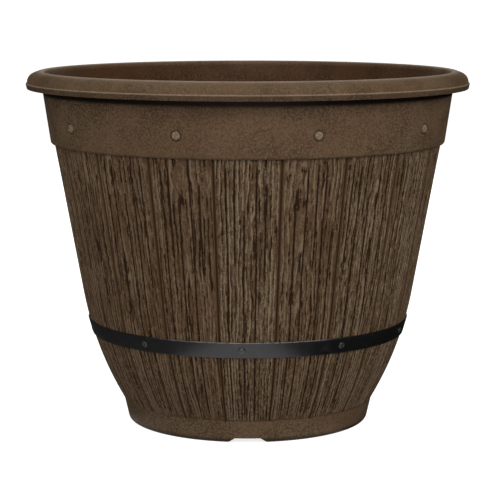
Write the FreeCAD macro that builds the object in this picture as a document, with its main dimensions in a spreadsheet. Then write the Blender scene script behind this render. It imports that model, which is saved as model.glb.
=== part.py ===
"""Round plant pot in the style of a half barrel, as a parametric document.

One moulded resin shell carries the rolled rim, the collar, the staves and the foot.
A black steel hoop is riveted round its lower wall, domed studs are pressed into its collar,
and four rubber plugs stop the drain holes in its floor.

Millimetres and degrees. +Z is up, the pot stands on z = 0 round the Z axis, and its front faces -Y.
Turns about Z are counted from +X, so the front is at -90 degrees.
"""

import FreeCAD, Part
import math
import os
import re

import Sketcher
from FreeCAD import Placement, Rotation, Vector

# Driving dimensions: name, value and what it measures
SIZES = (
    ("pot_height", 311.2, "top of the rim above the ground"),
    ("rim_radius", 195, "outermost edge of the lip"),
    ("wall", 3.5, "thickness of the moulded wall, measured level"),
    ("rim_depth", 15.2, "top of the rim down to the underside of the lip"),
    ("rim_overhang", 14.3, "lip beyond the collar at the lip's underside"),
    ("rim_batter", 0.8, "lean of the rim's side between lip and shoulder"),
    ("rim_shoulder_drop", 3.7, "corner of the rim's top and side below the top"),
    ("rim_shoulder_round", 8, "rounding of that corner"),
    ("crest_width", 4, "level strip along the rim's top"),
    ("crest_round", 7.5, "rounding where the rim's top starts to fall"),
    ("mouth_round", 2.4, "rounding of the mouth's inner edge"),
    ("lip_height", 4.3, "outer face of the lip"),
    ("lip_flare", 1.1, "lip beyond the rim's side"),
    ("lip_undercut", 1, "how far the lip's outer face leans in, down to its underside"),
    ("lip_round", 0.6, "rounding of the lip's edges"),
    ("collar_height", 48, "collar below the lip"),
    ("collar_step", 3.2, "collar beyond the staves"),
    ("collar_taper", 8.4, "collar's lean from upright"),
    ("collar_round", 2.6, "rounding of the collar's lower edge"),
    ("stave_taper", 10.25, "stave wall's lean from upright above the belly"),
    ("stave_count", 19, "staves round the wall"),
    ("stave_joint_width", 2.4, "groove between two staves, at their top"),
    ("stave_joint_depth", 1.2, "depth of that groove"),
    ("stave_joint_margin", 0.6, "plain wall left above and below that groove"),
    ("grain_width", 1.7, "main groove of a stave's wood grain, as at the stave's top"),
    ("grain_depth", 0.9, "depth of that groove"),
    ("grain_margin", 0.6, "plain wall left above and below the grain"),
    ("belly_top", 116, "where the straight wall starts to curve in"),
    ("belly_inset", 35.4, "how far the belly curves in down to the foot"),
    ("foot_height", 20, "foot band above the ground"),
    ("foot_taper", 12.95, "foot band's lean from upright"),
    ("foot_round", 4.5, "rounding of the foot's lower edge"),
    ("foot_wall", 7, "thickness of the foot ring at the ground"),
    ("notch_count", 4, "drain notches round the foot ring"),
    ("notch_width", 34, "drain notch at the ground"),
    ("notch_top_width", 22, "drain notch at its top"),
    ("notch_height", 4.2, "height of a drain notch"),
    ("notch_round", 1.5, "rounding of a drain notch's upper corners"),
    ("floor_lift", 8, "underside of the floor above the ground"),
    ("floor_wall", 4, "thickness of the floor"),
    ("floor_round", 4, "rounding between floor and wall"),
    ("drain_radius", 7, "drain hole in the floor"),
    ("drain_circle", 65, "drain holes' distance from the axis"),
    ("plug_clearance", 0.15, "gap round a plug's stem"),
    ("plug_taper", 1.2, "how much a plug's stem narrows to its tip"),
    ("plug_reach", 2.5, "a plug's tip below the floor"),
    ("plug_flange_radius", 11, "disc that rests on the floor"),
    ("plug_flange_height", 2.2, "thickness of that disc"),
    ("plug_flange_round", 0.8, "rounding of that disc's upper edge"),
    ("plug_grip_width", 14, "upright grip on a plug"),
    ("plug_grip_height", 7.5, "grip above the disc"),
    ("plug_grip_thickness", 3.2, "thickness of the grip"),
    ("plug_grip_round", 3, "rounding of the grip's upper corners"),
    ("hoop_drop", 29, "middle of the hoop below the top of the belly"),
    ("hoop_width", 14, "width of the hoop's strip"),
    ("hoop_thickness", 1, "thickness of the hoop's strip"),
    ("hoop_clearance", 0.1, "gap between the hoop and the wall's fullest line"),
    ("hoop_lap", 14, "angle over which the strip's ends lap"),
    ("hoop_lap_turn", 63, "turn at which the lap begins, at the back"),
    ("hoop_lap_clearance", 0.05, "gap between the two layers of the lap"),
    ("hoop_joggle", 3, "angle in which the strip climbs onto its own end"),
    ("rivet_count", 10, "rivets round the hoop"),
    ("rivet_turn", -92, "turn of the rivet nearest the front"),
    ("rivet_head_radius", 2.9, "rivet's domed head"),
    ("rivet_head_height", 1.3, "height of that head"),
    ("rivet_dimple_radius", 1.1, "dimple in the middle of the head"),
    ("rivet_dimple_depth", 0.5, "depth of that dimple"),
    ("rivet_stem_radius", 1.9, "rivet's stem through hoop and wall"),
    ("rivet_tail_radius", 3, "clenched tail inside the pot"),
    ("rivet_tail_height", 1, "height of that tail"),
    ("lap_rivet_margin", 4, "angle from an end of the lap to its rivet"),
    ("stud_count", 10, "studs round the collar, on every other stave"),
    ("stud_rise", 19, "studs above the collar's lower edge"),
    ("stud_head_radius", 3.6, "stud's domed head"),
    ("stud_head_height", 1.7, "height of that head above its recess"),
    ("stud_dimple_radius", 1.3, "dimple in the middle of the head"),
    ("stud_dimple_depth", 0.5, "depth of that dimple"),
    ("stud_recess_margin", 1.1, "width of the recess that shows round a head"),
    ("stud_recess_depth", 0.5, "depth of that recess"),
    ("stud_stem_radius", 1.9, "stud's stem in its blind hole"),
    ("stud_stem_length", 1.5, "length of that stem"),
    ("stem_clearance", 0.1, "gap round a stem, at its end and under a tail"),
    ("head_fullness", 0.85, "share of a head's height that its rounding takes"),
)

# Values that follow from the driving dimensions: name, formula
DERIVED = (
    ("floor_top", "floor_lift + floor_wall"),
    ("lip_base", "pot_height - rim_depth"),
    ("collar_base", "lip_base - collar_height"),
    ("collar_edge", "rim_radius - rim_overhang - collar_height * tan(collar_taper)"),
    ("stave_top", "collar_edge - collar_step"),
    ("stave_joint_angle", "stave_joint_width / stave_top * 180 / pi"),
    # The belly is an arc that leaves the straight wall smoothly and ends at the foot
    ("belly_radius", "stave_top - (collar_base - belly_top) * tan(stave_taper)"),
    ("belly_fall", "belly_top - foot_height"),
    ("belly_sag", "belly_inset * cos(stave_taper) - belly_fall * sin(stave_taper)"),
    ("belly_bend", "(belly_inset^2 + belly_fall^2) / (2 * belly_sag)"),
    ("belly_centre_radius", "belly_radius - belly_bend * cos(stave_taper)"),
    ("belly_centre_height", "belly_top + belly_bend * sin(stave_taper)"),
    ("foot_top", "belly_radius - belly_inset"),
    ("foot_base", "foot_top - foot_height * tan(foot_taper)"),
    # The grain's main grooves lie in the straight wall between belly and collar
    ("grain_angle", "grain_width / stave_top * 180 / pi"),
    ("grain_foot", "belly_top + grain_margin"),
    ("grain_head", "collar_base - grain_margin"),
    # The hoop lies against the belly at its own height, and leans as the wall does there
    ("hoop_centre", "belly_top - hoop_drop"),
    ("hoop_sine", "(belly_centre_height - hoop_centre) / belly_bend"),
    ("hoop_cosine", "sqrt(1 - hoop_sine^2)"),
    ("hoop_seat", "belly_centre_radius + belly_bend * hoop_cosine"),
    ("hoop_face", "hoop_clearance + hoop_thickness"),
    ("lap_face", "hoop_face + hoop_lap_clearance + hoop_thickness"),
    ("stud_spread", "(stud_count - 1) * 2 * 360 / stave_count"),
    ("stud_centre", "collar_base + stud_rise"),
    ("stud_seat", "collar_edge + stud_rise * tan(collar_taper)"),
    ("stud_hole_depth", "stud_recess_depth + stud_stem_length + stem_clearance"),
    ("plug_stem", "drain_radius - plug_clearance"),
    ("plug_length", "floor_wall + plug_reach"),
)

# Three kinds of stave, in turn round the pot, by the main grooves of their grain. Each groove has its
# place as a share of half the stave's width, and its ends as shares of the straight wall's height.
STAVE_GRAINS = (
    ((-0.64, 0, 1), (-0.4, 0.3, 1), (-0.12, 0, 0.7), (0.27, 0, 1), (0.56, 0.2, 0.9)),
    ((-0.53, 0, 0.85), (-0.2, 0, 1), (0.13, 0.25, 1), (0.39, 0, 1), (0.71, 0, 0.6)),
    ((-0.72, 0.15, 1), (-0.42, 0, 1), (-0.01, 0, 0.8), (0.32, 0, 1), (0.67, 0.1, 1)),
)

# Drain holes and their plugs, by the side of the pot that they are on, with their turns about Z
DRAINS = {"front": -90, "right": 0, "back": 90, "left": 180}

FRONT_TURN = "-90"
FULL_TURN = "360"
# Cuts reach this far past the surface that they cut
OVERCUT = "2"
# Cuts and copies leave no faces to merge, and the build is quicker without a search for them
MERGE_FACES = False

SIZE_NAMES = {name for name, *_ in SIZES}
DERIVED_NAMES = {name for name, _ in DERIVED}


def formula(text):
    """An expression on the document's values, from one written in their plain names."""
    def qualify(match):
        name = match.group(0)
        if name in SIZE_NAMES:
            return "Sizes." + name
        if name in DERIVED_NAMES:
            return "Derived." + name
        return name
    return re.sub(r"[a-z_]+", qualify, text)


def make_values():
    """The sheet of driving dimensions, and the set of values that follow from them."""
    sheet = doc.addObject("Spreadsheet::Sheet", "Sizes")
    for row, (name, value, meaning) in enumerate(SIZES, start=1):
        sheet.set(f"A{row}", meaning)
        sheet.set(f"B{row}", str(value))
        sheet.setAlias(f"B{row}", name)
    doc.recompute()
    derived = doc.addObject("App::VarSet", "Derived")
    for name, _ in DERIVED:
        derived.addProperty("App::PropertyFloat", name, "Derived")
    for name, text in DERIVED:
        derived.setExpression(name, formula(text))
    doc.recompute()
    return derived


doc = FreeCAD.newDocument("plant_pot")
values = make_values()


def measure(text):
    """The present value of a formula, as a plain number."""
    return float(values.evalExpression(formula(text)))


def collar_at(height):
    """Outside radius of the collar at a height."""
    return f"(collar_edge + ({height} - collar_base) * tan(collar_taper))"


def stave_at(height):
    """Outside radius of the straight stave wall at a height."""
    return f"(stave_top - (collar_base - ({height})) * tan(stave_taper))"


def belly_at(height):
    """Outside radius of the belly at a height."""
    return f"(belly_centre_radius + sqrt(belly_bend^2 - (belly_centre_height - ({height}))^2))"


def foot_at(height):
    """Outside radius of the foot band at a height."""
    return f"(foot_base + {height} * tan(foot_taper))"


def off_belly(out, along):
    """A point off the belly at the hoop's middle: so far out from the wall, so far up along it."""
    across = f"hoop_seat + ({out}) * hoop_cosine + ({along}) * hoop_sine"
    up = f"hoop_centre - ({out}) * hoop_sine + ({along}) * hoop_cosine"
    return across, up


def off_collar(out, along):
    """A point off the collar at the studs' height: so far out from the wall, so far up along it."""
    across = f"stud_seat + ({out}) * cos(collar_taper) + ({along}) * sin(collar_taper)"
    up = f"stud_centre - ({out}) * sin(collar_taper) + ({along}) * cos(collar_taper)"
    return across, up


def new_body(label):
    """An empty body for one sub-part."""
    body = doc.addObject("PartDesign::Body", label)
    body.Label = label
    return body


def origin_feature(body, role):
    """One of a body's own planes or axes."""
    return next(feature for feature in body.Origin.OriginFeatures if feature.Role == role)


class Corner:
    """A corner of an outline: its place, its rounding, and the bend of the edge that ends there.

    A bend of "leaves" or "meets" makes that edge an arc, smooth with the edge before it or after it.
    """

    def __init__(self, across, up, rounding=None, bend=None):
        self.across = across
        self.up = up
        self.rounding = rounding
        self.bend = bend
        self.point = Vector(measure(across), measure(up), 0)


def bend_arc(start, end, bend, before, after):
    """The arc from start to end that is smooth with the straight edge before it, or after it."""
    if bend == "leaves":
        touch, far, along = start, end, start - before
    else:
        touch, far, along = end, start, end - after
    along.normalize()
    chord = far - touch
    side = chord - along * chord.dot(along)
    side.normalize()
    radius = chord.dot(chord) / (2 * chord.dot(side))
    centre = touch + side * radius
    outward = (start - centre) + (end - centre)
    outward.normalize()
    return Part.Arc(start, centre + outward * radius, end)


class Outline:
    """A closed sketch in a body's upright plane, turned about Z, with every corner bound to formulas."""

    def __init__(self, body, name, corners, turn="0"):
        self.sketch = body.newObject("Sketcher::SketchObject", name)
        self.sketch.AttachmentSupport = [(origin_feature(body, "XZ_Plane"), "")]
        self.sketch.MapMode = "FlatFace"
        self.sketch.AttachmentOffset = Placement(Vector(), Rotation(Vector(0, 1, 0), measure(turn)))
        self.sketch.setExpression("AttachmentOffset.Rotation.Angle", formula(turn))
        self.corners = [Corner(*corner) for corner in corners]
        self.roundings = {}
        self.edges = []
        self.draw()
        self.join()
        doc.recompute()

    def corner(self, index):
        return self.corners[index % len(self.corners)]

    def stops(self, index):
        """Where the edges before and after a corner stop: at it, or where its rounding starts and ends."""
        corner = self.corner(index)
        if corner.rounding is None:
            return corner.point, corner.point
        before = self.corner(index - 1).point - corner.point
        after = self.corner(index + 1).point - corner.point
        setback = measure(corner.rounding) / math.tan(before.getAngle(after) / 2)
        before.normalize()
        after.normalize()
        return corner.point + before * setback, corner.point + after * setback

    def draw(self):
        """Draws each corner's rounding and the edge from that corner to the next."""
        for index, corner in enumerate(self.corners):
            arrive, leave = self.stops(index)
            if corner.rounding is not None:
                inward = (arrive + leave) * 0.5 - corner.point
                inward.normalize()
                half = inward.getAngle(arrive - corner.point)
                depth = measure(corner.rounding) * (1 / math.sin(half) - 1)
                arc = Part.Arc(arrive, corner.point + inward * depth, leave)
                self.roundings[index] = self.add(arc, arrive)
            target, _ = self.stops(index + 1)
            bend = self.corner(index + 1).bend
            if bend is None:
                edge = Part.LineSegment(leave, target)
            else:
                edge = bend_arc(leave, target, bend, self.corner(index - 1).point, self.corner(index + 2).point)
            self.edges.append(self.add(edge, leave))

    def add(self, geometry, start):
        """Adds a line or an arc, and gives its number and which of its ends are its start and its end."""
        number = self.sketch.addGeometry(geometry, False)
        near = (self.sketch.getPoint(number, 1) - start).Length
        far = (self.sketch.getPoint(number, 2) - start).Length
        return (number, 1, 2) if near < far else (number, 2, 1)

    def constrain(self, *terms):
        return self.sketch.addConstraint(Sketcher.Constraint(*terms))

    def bind(self, text, *terms):
        """A constraint whose value is a formula."""
        number = self.constrain(*terms, measure(text))
        self.sketch.setExpression(f"Constraints[{number}]", formula(text))

    def place(self, number, position, corner):
        """Ties a point of the sketch to its corner's formulas, or to an axis where a formula is 0."""
        for kind, text, axis in (("DistanceX", corner.across, -2), ("DistanceY", corner.up, -1)):
            if text == "0":
                self.constrain("PointOnObject", number, position, axis)
            else:
                self.bind(text, kind, number, position)

    def join(self):
        """Joins roundings and edges end to end, and ties them to their corners."""
        for index, corner in enumerate(self.corners):
            before, _, before_end = self.edges[index - 1]
            after, after_start, _ = self.edges[index]
            if corner.rounding is None:
                smooth = corner.bend == "meets" or self.corner(index + 1).bend == "leaves"
                kind = "Tangent" if smooth else "Coincident"
                self.constrain(kind, before, before_end, after, after_start)
                self.place(after, after_start, corner)
                continue
            arc, arc_start, arc_end = self.roundings[index]
            self.constrain("Tangent", before, before_end, arc, arc_start)
            self.constrain("Tangent", arc, arc_end, after, after_start)
            self.bind(corner.rounding, "Radius", arc)
            point = self.sketch.addGeometry(Part.Point(corner.point), True)
            self.constrain("PointOnObject", point, 1, before)
            self.constrain("PointOnObject", point, 1, after)
            self.place(point, 1, corner)

    def add_axis(self, start, end):
        """Adds a construction line, about which the outline can be turned."""
        first, last = Corner(*start), Corner(*end)
        number = self.sketch.addGeometry(Part.LineSegment(first.point, last.point), True)
        self.place(number, 1, first)
        self.place(number, 2, last)
        doc.recompute()


def volume_of(body):
    """A body's volume so far."""
    return 0 if body.Shape.isNull() else body.Shape.Volume


def finish_feature(body, feature, before):
    """Recomputes, and stops the build where a cut took nothing away or an addition added nothing."""
    doc.recompute()
    change = volume_of(body) - before
    first = feature.Originals[0] if hasattr(feature, "Originals") else feature
    is_cut = first.TypeId in ("PartDesign::Groove", "PartDesign::Pocket", "PartDesign::Boolean")
    if change == 0 or (change < 0) != is_cut:
        raise RuntimeError(f"{feature.Name} in {body.Label} changed its volume by {change:.3f} mm3")
    return feature


def turn_outline(body, name, outline, kind, axis="V_Axis", angle=FULL_TURN, middle=False):
    """A solid or a cut made by turning an outline about an axis of its sketch."""
    before = volume_of(body)
    feature = body.newObject(kind, name)
    feature.Profile = outline.sketch
    feature.ReferenceAxis = (outline.sketch, [axis])
    feature.Midplane = middle
    feature.Refine = MERGE_FACES
    feature.setExpression("Angle", formula(angle))
    return finish_feature(body, feature, before)


def revolve(body, name, corners, turn="0", angle=FULL_TURN):
    """Material turned about the body's Z axis."""
    outline = Outline(body, name + "_outline", corners, turn)
    return turn_outline(body, name, outline, "PartDesign::Revolution", angle=angle)


def revolve_about(body, name, corners, axis, turn, kind="PartDesign::Groove"):
    """A round cut, or round material, about an axis of its own in the upright plane at a turn."""
    outline = Outline(body, name + "_outline", corners, turn)
    outline.add_axis(*axis)
    return turn_outline(body, name, outline, kind, axis="Axis0")


def repeat(body, name, features, count, angle=FULL_TURN):
    """Copies of one or more features at even turns about the body's Z axis."""
    before = volume_of(body)
    pattern = body.newObject("PartDesign::PolarPattern", name)
    pattern.Originals = features
    pattern.Refine = MERGE_FACES
    pattern.Axis = (origin_feature(body, "Z_Axis"), [""])
    pattern.setExpression("Angle", formula(angle))
    pattern.setExpression("Occurrences", formula(count))
    body.Tip = pattern
    return finish_feature(body, pattern, before)


# Turns of what stands round the pot
STUD_TURN = f"{FRONT_TURN} - stud_spread / 2"
STAVE_JOINT_TURN = f"{FRONT_TURN} + 180 / stave_count"
LAP_RIVET_TURN = "hoop_lap_turn + lap_rivet_margin"
LAP_RIVET_SPREAD = "hoop_lap - 2 * lap_rivet_margin"
LAP_RIVET_COUNT = "2"

# Axes of rivets and studs, square to the wall
RIVET_AXIS = (off_belly("-wall", "0"), off_belly("wall", "0"))
STUD_AXIS = (off_collar("-wall", "0"), off_collar("wall", "0"))


def rivet_hole(body, name, turn):
    """A hole for a rivet's stem through whatever lies at the hoop's middle."""
    inside = f"-wall - {OVERCUT}"
    outside = f"lap_face + {OVERCUT}"
    edge = "rivet_stem_radius + stem_clearance"
    corners = (
        off_belly(inside, "0"),
        off_belly(inside, edge),
        off_belly(outside, edge),
        off_belly(outside, "0"),
    )
    return revolve_about(body, name, corners, RIVET_AXIS, turn)


def rivet_holes(body):
    """All the hoop's rivet holes, as the shell and the hoop both have them."""
    repeat(body, "rivet_holes", [rivet_hole(body, "rivet_hole", "rivet_turn")], "rivet_count")
    lap_hole = rivet_hole(body, "lap_rivet_hole", LAP_RIVET_TURN)
    repeat(body, "lap_rivet_holes", [lap_hole], LAP_RIVET_COUNT, LAP_RIVET_SPREAD)


def shell_corners():
    """The shell's section: under the floor, up the outside, over the rim and down the inside."""
    mouth = f"{collar_at('pot_height')} - wall"
    rim_side = "rim_radius - lip_flare"
    shoulder = f"{rim_side} - rim_batter"
    shoulder_height = "pot_height - rim_shoulder_drop"
    ledge = "(collar_base + wall)"
    return (
        ("0", "floor_lift"),
        ("foot_base - foot_wall", "floor_lift"),
        ("foot_base - foot_wall", "0"),
        ("foot_base", "0", "foot_round"),
        ("foot_top", "foot_height"),
        ("belly_radius", "belly_top", None, "meets"),
        ("stave_top", "collar_base"),
        ("collar_edge", "collar_base", "collar_round"),
        (collar_at("(pot_height - wall)"), "pot_height - wall"),
        (f"{shoulder} - wall", f"{shoulder_height} - wall"),
        ("rim_radius - wall", "lip_base"),
        ("rim_radius - lip_undercut", "lip_base", "lip_round"),
        ("rim_radius", "lip_base + lip_height", "lip_round"),
        (rim_side, "lip_base + lip_height + lip_flare"),
        (shoulder, shoulder_height, "rim_shoulder_round"),
        (f"{mouth} + crest_width", "pot_height", "crest_round"),
        (mouth, "pot_height", "mouth_round"),
        (f"{collar_at(ledge)} - wall", ledge),
        ("stave_top - wall + wall * tan(stave_taper)", ledge),
        ("belly_radius - wall", "belly_top"),
        ("foot_top - wall", "foot_height", None, "leaves"),
        (f"{foot_at('floor_top')} - wall", "floor_top", "floor_round"),
        ("0", "floor_top"),
    )


def cut_stave_joints(body):
    """The grooves between the staves, from the foot band up to the collar."""
    low = "foot_height + stave_joint_margin"
    high = "collar_base - stave_joint_margin"
    corners = (
        (f"{stave_at(high)} - stave_joint_depth", high),
        ("belly_radius - stave_joint_depth", "belly_top"),
        (f"{belly_at(low)} - stave_joint_depth", low, None, "leaves"),
        (f"stave_top + {OVERCUT}", low),
        (f"stave_top + {OVERCUT}", high),
    )
    outline = Outline(body, "stave_joint_outline", corners, STAVE_JOINT_TURN)
    joint = turn_outline(body, "stave_joint", outline, "PartDesign::Groove",
                         angle="stave_joint_angle", middle=True)
    repeat(body, "stave_joints", [joint], "stave_count")


def grain_wedge(body, name, stave, share, low, high):
    """A slim wedge that leaves one groove of the grain when it is cut from the wall of a stave."""
    bottom, top = (f"grain_foot + {end} * (grain_head - grain_foot)" for end in (low, high))
    corners = (
        (f"{stave_at(top)} - grain_depth", top),
        (f"{stave_at(bottom)} - grain_depth", bottom),
        (f"stave_top + {OVERCUT}", bottom),
        (f"stave_top + {OVERCUT}", top),
    )
    turn = f"{FRONT_TURN} + {FULL_TURN} * ({stave} + {share} / 2) / stave_count"
    outline = Outline(body, name + "_outline", corners, turn)
    return turn_outline(body, name, outline, "PartDesign::Revolution", angle="grain_angle", middle=True)


def cut_grain(body):
    """The main grooves of the grain: wedges for each kind of stave, all cut from the wall at once."""
    wedges = new_body("grain_wedges")
    kinds = len(STAVE_GRAINS)
    for kind, grooves in enumerate(STAVE_GRAINS):
        row = [grain_wedge(wedges, f"grain_{kind}_{number}", kind, *groove)
               for number, groove in enumerate(grooves)]
        count = f"(floor((stave_count - {kind} - 1) / {kinds}) + 1)"
        spread = f"{FULL_TURN} * {kinds} * ({count} - 1) / stave_count"
        repeat(wedges, f"grain_{kind}", row, count, spread)
    before = volume_of(body)
    cut = body.newObject("PartDesign::Boolean", "grain")
    cut.Type = "Cut"
    cut.Refine = MERGE_FACES
    cut.setObjects([wedges])
    body.Tip = cut
    finish_feature(body, cut, before)


def cut_notches(body):
    """The drain notches through the foot ring, with sloping sides."""
    before = volume_of(body)
    corners = (
        ("-notch_width / 2", f"-{OVERCUT}"),
        ("notch_width / 2", f"-{OVERCUT}"),
        ("notch_width / 2", "0"),
        ("notch_top_width / 2", "notch_height", "notch_round"),
        ("-notch_top_width / 2", "notch_height", "notch_round"),
        ("-notch_width / 2", "0"),
    )
    notch = body.newObject("PartDesign::Pocket", "notch")
    notch.Profile = Outline(body, "notch_outline", corners).sketch
    notch.Reversed = True
    notch.setExpression("Length", formula(f"foot_top + {OVERCUT}"))
    body.Tip = notch
    repeat(body, "notches", [finish_feature(body, notch, before)], "notch_count")


def cut_drains(body):
    """The drain holes through the floor."""
    under = f"floor_lift - {OVERCUT}"
    over = f"floor_top + {OVERCUT}"
    corners = (
        ("drain_circle", under),
        ("drain_circle + drain_radius", under),
        ("drain_circle + drain_radius", over),
        ("drain_circle", over),
    )
    axis = (("drain_circle", under), ("drain_circle", over))
    drain = revolve_about(body, "drain", corners, axis, FRONT_TURN)
    repeat(body, "drains", [drain], str(len(DRAINS)))


def cut_stud_seats(body):
    """The round recesses in the collar, each with a blind hole for a stud's stem."""
    recess = "stud_head_radius + stud_recess_margin"
    hole = "stud_stem_radius + stem_clearance"
    corners = (
        off_collar(OVERCUT, "0"),
        off_collar(OVERCUT, recess),
        off_collar("-stud_recess_depth", recess),
        off_collar("-stud_recess_depth", hole),
        off_collar("-stud_hole_depth", hole),
        off_collar("-stud_hole_depth", "0"),
    )
    seat = revolve_about(body, "stud_seat_cut", corners, STUD_AXIS, STUD_TURN)
    repeat(body, "stud_seats", [seat], "stud_count", "stud_spread")


def make_shell():
    """The one moulding: floor, foot, staves, collar and rim, with everything that is cut into it."""
    body = new_body("pot_shell")
    revolve(body, "shell", shell_corners())
    cut_stave_joints(body)
    cut_notches(body)
    cut_drains(body)
    rivet_holes(body)
    cut_stud_seats(body)
    cut_grain(body)
    return body


def hoop_section(inner, outer):
    """The strip's section between two distances from the wall."""
    return (
        off_belly(inner, "-hoop_width / 2"),
        off_belly(outer, "-hoop_width / 2"),
        off_belly(outer, "hoop_width / 2"),
        off_belly(inner, "hoop_width / 2"),
    )


def make_hoop():
    """The hoop: a strip once round the belly, then up over its own end and along it."""
    body = new_body("hoop_band")
    strip = hoop_section("hoop_clearance", "hoop_face")
    lapped = hoop_section("lap_face - hoop_thickness", "lap_face")
    revolve(body, "strip", strip, "hoop_lap_turn", "360 - hoop_joggle")
    before = volume_of(body)
    climb = body.newObject("PartDesign::AdditiveLoft", "joggle")
    climb.Profile = Outline(body, "joggle_start", strip, "hoop_lap_turn - hoop_joggle").sketch
    climb.Sections = [Outline(body, "joggle_end", lapped, "hoop_lap_turn").sketch]
    climb.Ruled = True
    body.Tip = climb
    finish_feature(body, climb, before)
    revolve(body, "lap", lapped, "hoop_lap_turn", "hoop_lap")
    rivet_holes(body)
    return body


def fastener_corners(off_wall, kind, seat, end, tail_radius=None):
    """A round fastener's half section: dimpled dome, stem and, where it has one, a clenched tail."""
    top = f"{seat} + {kind}_head_height"
    stem = f"{kind}_stem_radius"
    corners = [
        off_wall(f"{top} - {kind}_dimple_depth", "0"),
        off_wall(top, f"{kind}_dimple_radius"),
        off_wall(top, f"{kind}_head_radius") + (f"{kind}_head_height * head_fullness",),
        off_wall(seat, f"{kind}_head_radius"),
        off_wall(seat, stem),
    ]
    if tail_radius is not None:
        tail_seat = f"{end} + rivet_tail_height"
        corners += [
            off_wall(tail_seat, stem),
            off_wall(tail_seat, tail_radius),
            off_wall(end, tail_radius) + ("rivet_tail_height * head_fullness",),
        ]
    else:
        corners.append(off_wall(end, stem))
    corners.append(off_wall(end, "0"))
    return corners


def make_rivets(label, seat, turn, count, angle=FULL_TURN):
    """Rivets through hoop and wall, with their heads on the hoop and their tails inside the pot."""
    body = new_body(label)
    end = "-wall * hoop_cosine - stem_clearance - rivet_tail_height"
    corners = fastener_corners(off_belly, "rivet", seat, end, "rivet_tail_radius")
    rivet = revolve_about(body, label + "_one", corners, RIVET_AXIS, turn, "PartDesign::Revolution")
    repeat(body, label + "_all", [rivet], count, angle)
    return body


def make_studs():
    """The studs, each with its head on the floor of its recess."""
    body = new_body("collar_studs")
    end = "-stud_recess_depth - stud_stem_length"
    corners = fastener_corners(off_collar, "stud", "-stud_recess_depth", end)
    stud = revolve_about(body, "stud", corners, STUD_AXIS, STUD_TURN, "PartDesign::Revolution")
    repeat(body, "studs", [stud], "stud_count", "stud_spread")
    return body


def make_plug(side, turn):
    """A push-in plug: a stem in the drain hole, a disc that rests on the floor and an upright grip."""
    body = new_body(f"drain_plug_{side}")
    revolve(body, f"plug_{side}", (
        ("0", "-plug_length"),
        ("plug_stem - plug_taper", "-plug_length"),
        ("plug_stem", "-floor_wall"),
        ("plug_stem", "0"),
        ("plug_flange_radius", "0"),
        ("plug_flange_radius", "plug_flange_height", "plug_flange_round"),
        ("0", "plug_flange_height"),
    ))
    before = volume_of(body)
    top = "plug_flange_height + plug_grip_height"
    grip = body.newObject("PartDesign::Pad", f"grip_{side}")
    grip.Profile = Outline(body, f"grip_{side}_outline", (
        ("-plug_grip_width / 2", "plug_flange_height / 2"),
        ("plug_grip_width / 2", "plug_flange_height / 2"),
        ("plug_grip_width / 2", top, "plug_grip_round"),
        ("-plug_grip_width / 2", top, "plug_grip_round"),
    )).sketch
    grip.Midplane = True
    grip.setExpression("Length", formula("plug_grip_thickness"))
    body.Tip = grip
    finish_feature(body, grip, before)
    body.Placement = Placement(Vector(), Rotation(Vector(0, 0, 1), turn))
    body.setExpression("Placement.Base.x", formula(f"drain_circle * cos({turn})"))
    body.setExpression("Placement.Base.y", formula(f"drain_circle * sin({turn})"))
    body.setExpression("Placement.Base.z", formula("floor_top"))
    return body


def check_document():
    """Stops the build where an object failed or a sketch is free to move."""
    for item in doc.Objects:
        if {"Invalid", "Error"} & set(item.State):
            raise RuntimeError(f"{item.Name} is {item.State}")
        if item.TypeId == "Sketcher::SketchObject" and not item.FullyConstrained:
            raise RuntimeError(f"{item.Name} is not fully constrained")


def write_parts(bodies):
    """Checks every sub-part's shape, then writes each to its own file."""
    for body in bodies:
        if body.Shape.isNull() or not body.Shape.isValid() or not body.Shape.Solids:
            raise RuntimeError(f"{body.Label} has no valid solid")
    os.makedirs("parts", exist_ok=True)
    for body in bodies:
        body.Shape.exportStep(f"parts/{body.Label}.step")
        box = body.Shape.optimalBoundingBox(True, False)
        print(f"{body.Label}: {len(body.Shape.Solids)} solids, {body.Shape.Volume / 1000:.2f} cm3, "
              f"{box.XLength:.1f} x {box.YLength:.1f} x {box.ZLength:.1f} mm")


bodies = [
    make_shell(),
    make_studs(),
    make_hoop(),
    make_rivets("hoop_rivets", "hoop_face", "rivet_turn", "rivet_count"),
    make_rivets("hoop_lap_rivets", "lap_face", LAP_RIVET_TURN, LAP_RIVET_COUNT, LAP_RIVET_SPREAD),
]
bodies += [make_plug(side, turn) for side, turn in DRAINS.items()]
doc.recompute()
check_document()
write_parts(bodies)
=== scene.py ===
# %% [markdown]
# A round plant pot, moulded in brown resin in the style of a half barrel.
# The packed solids are loaded first and are never moved: they give the sizes and the bodies that move.
# Everything that shows is then built around them, in metres and in the same place.

# %% Load the frame
import math

import bmesh
import bpy
import numpy as np
from mathutils import Matrix, Vector


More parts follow.
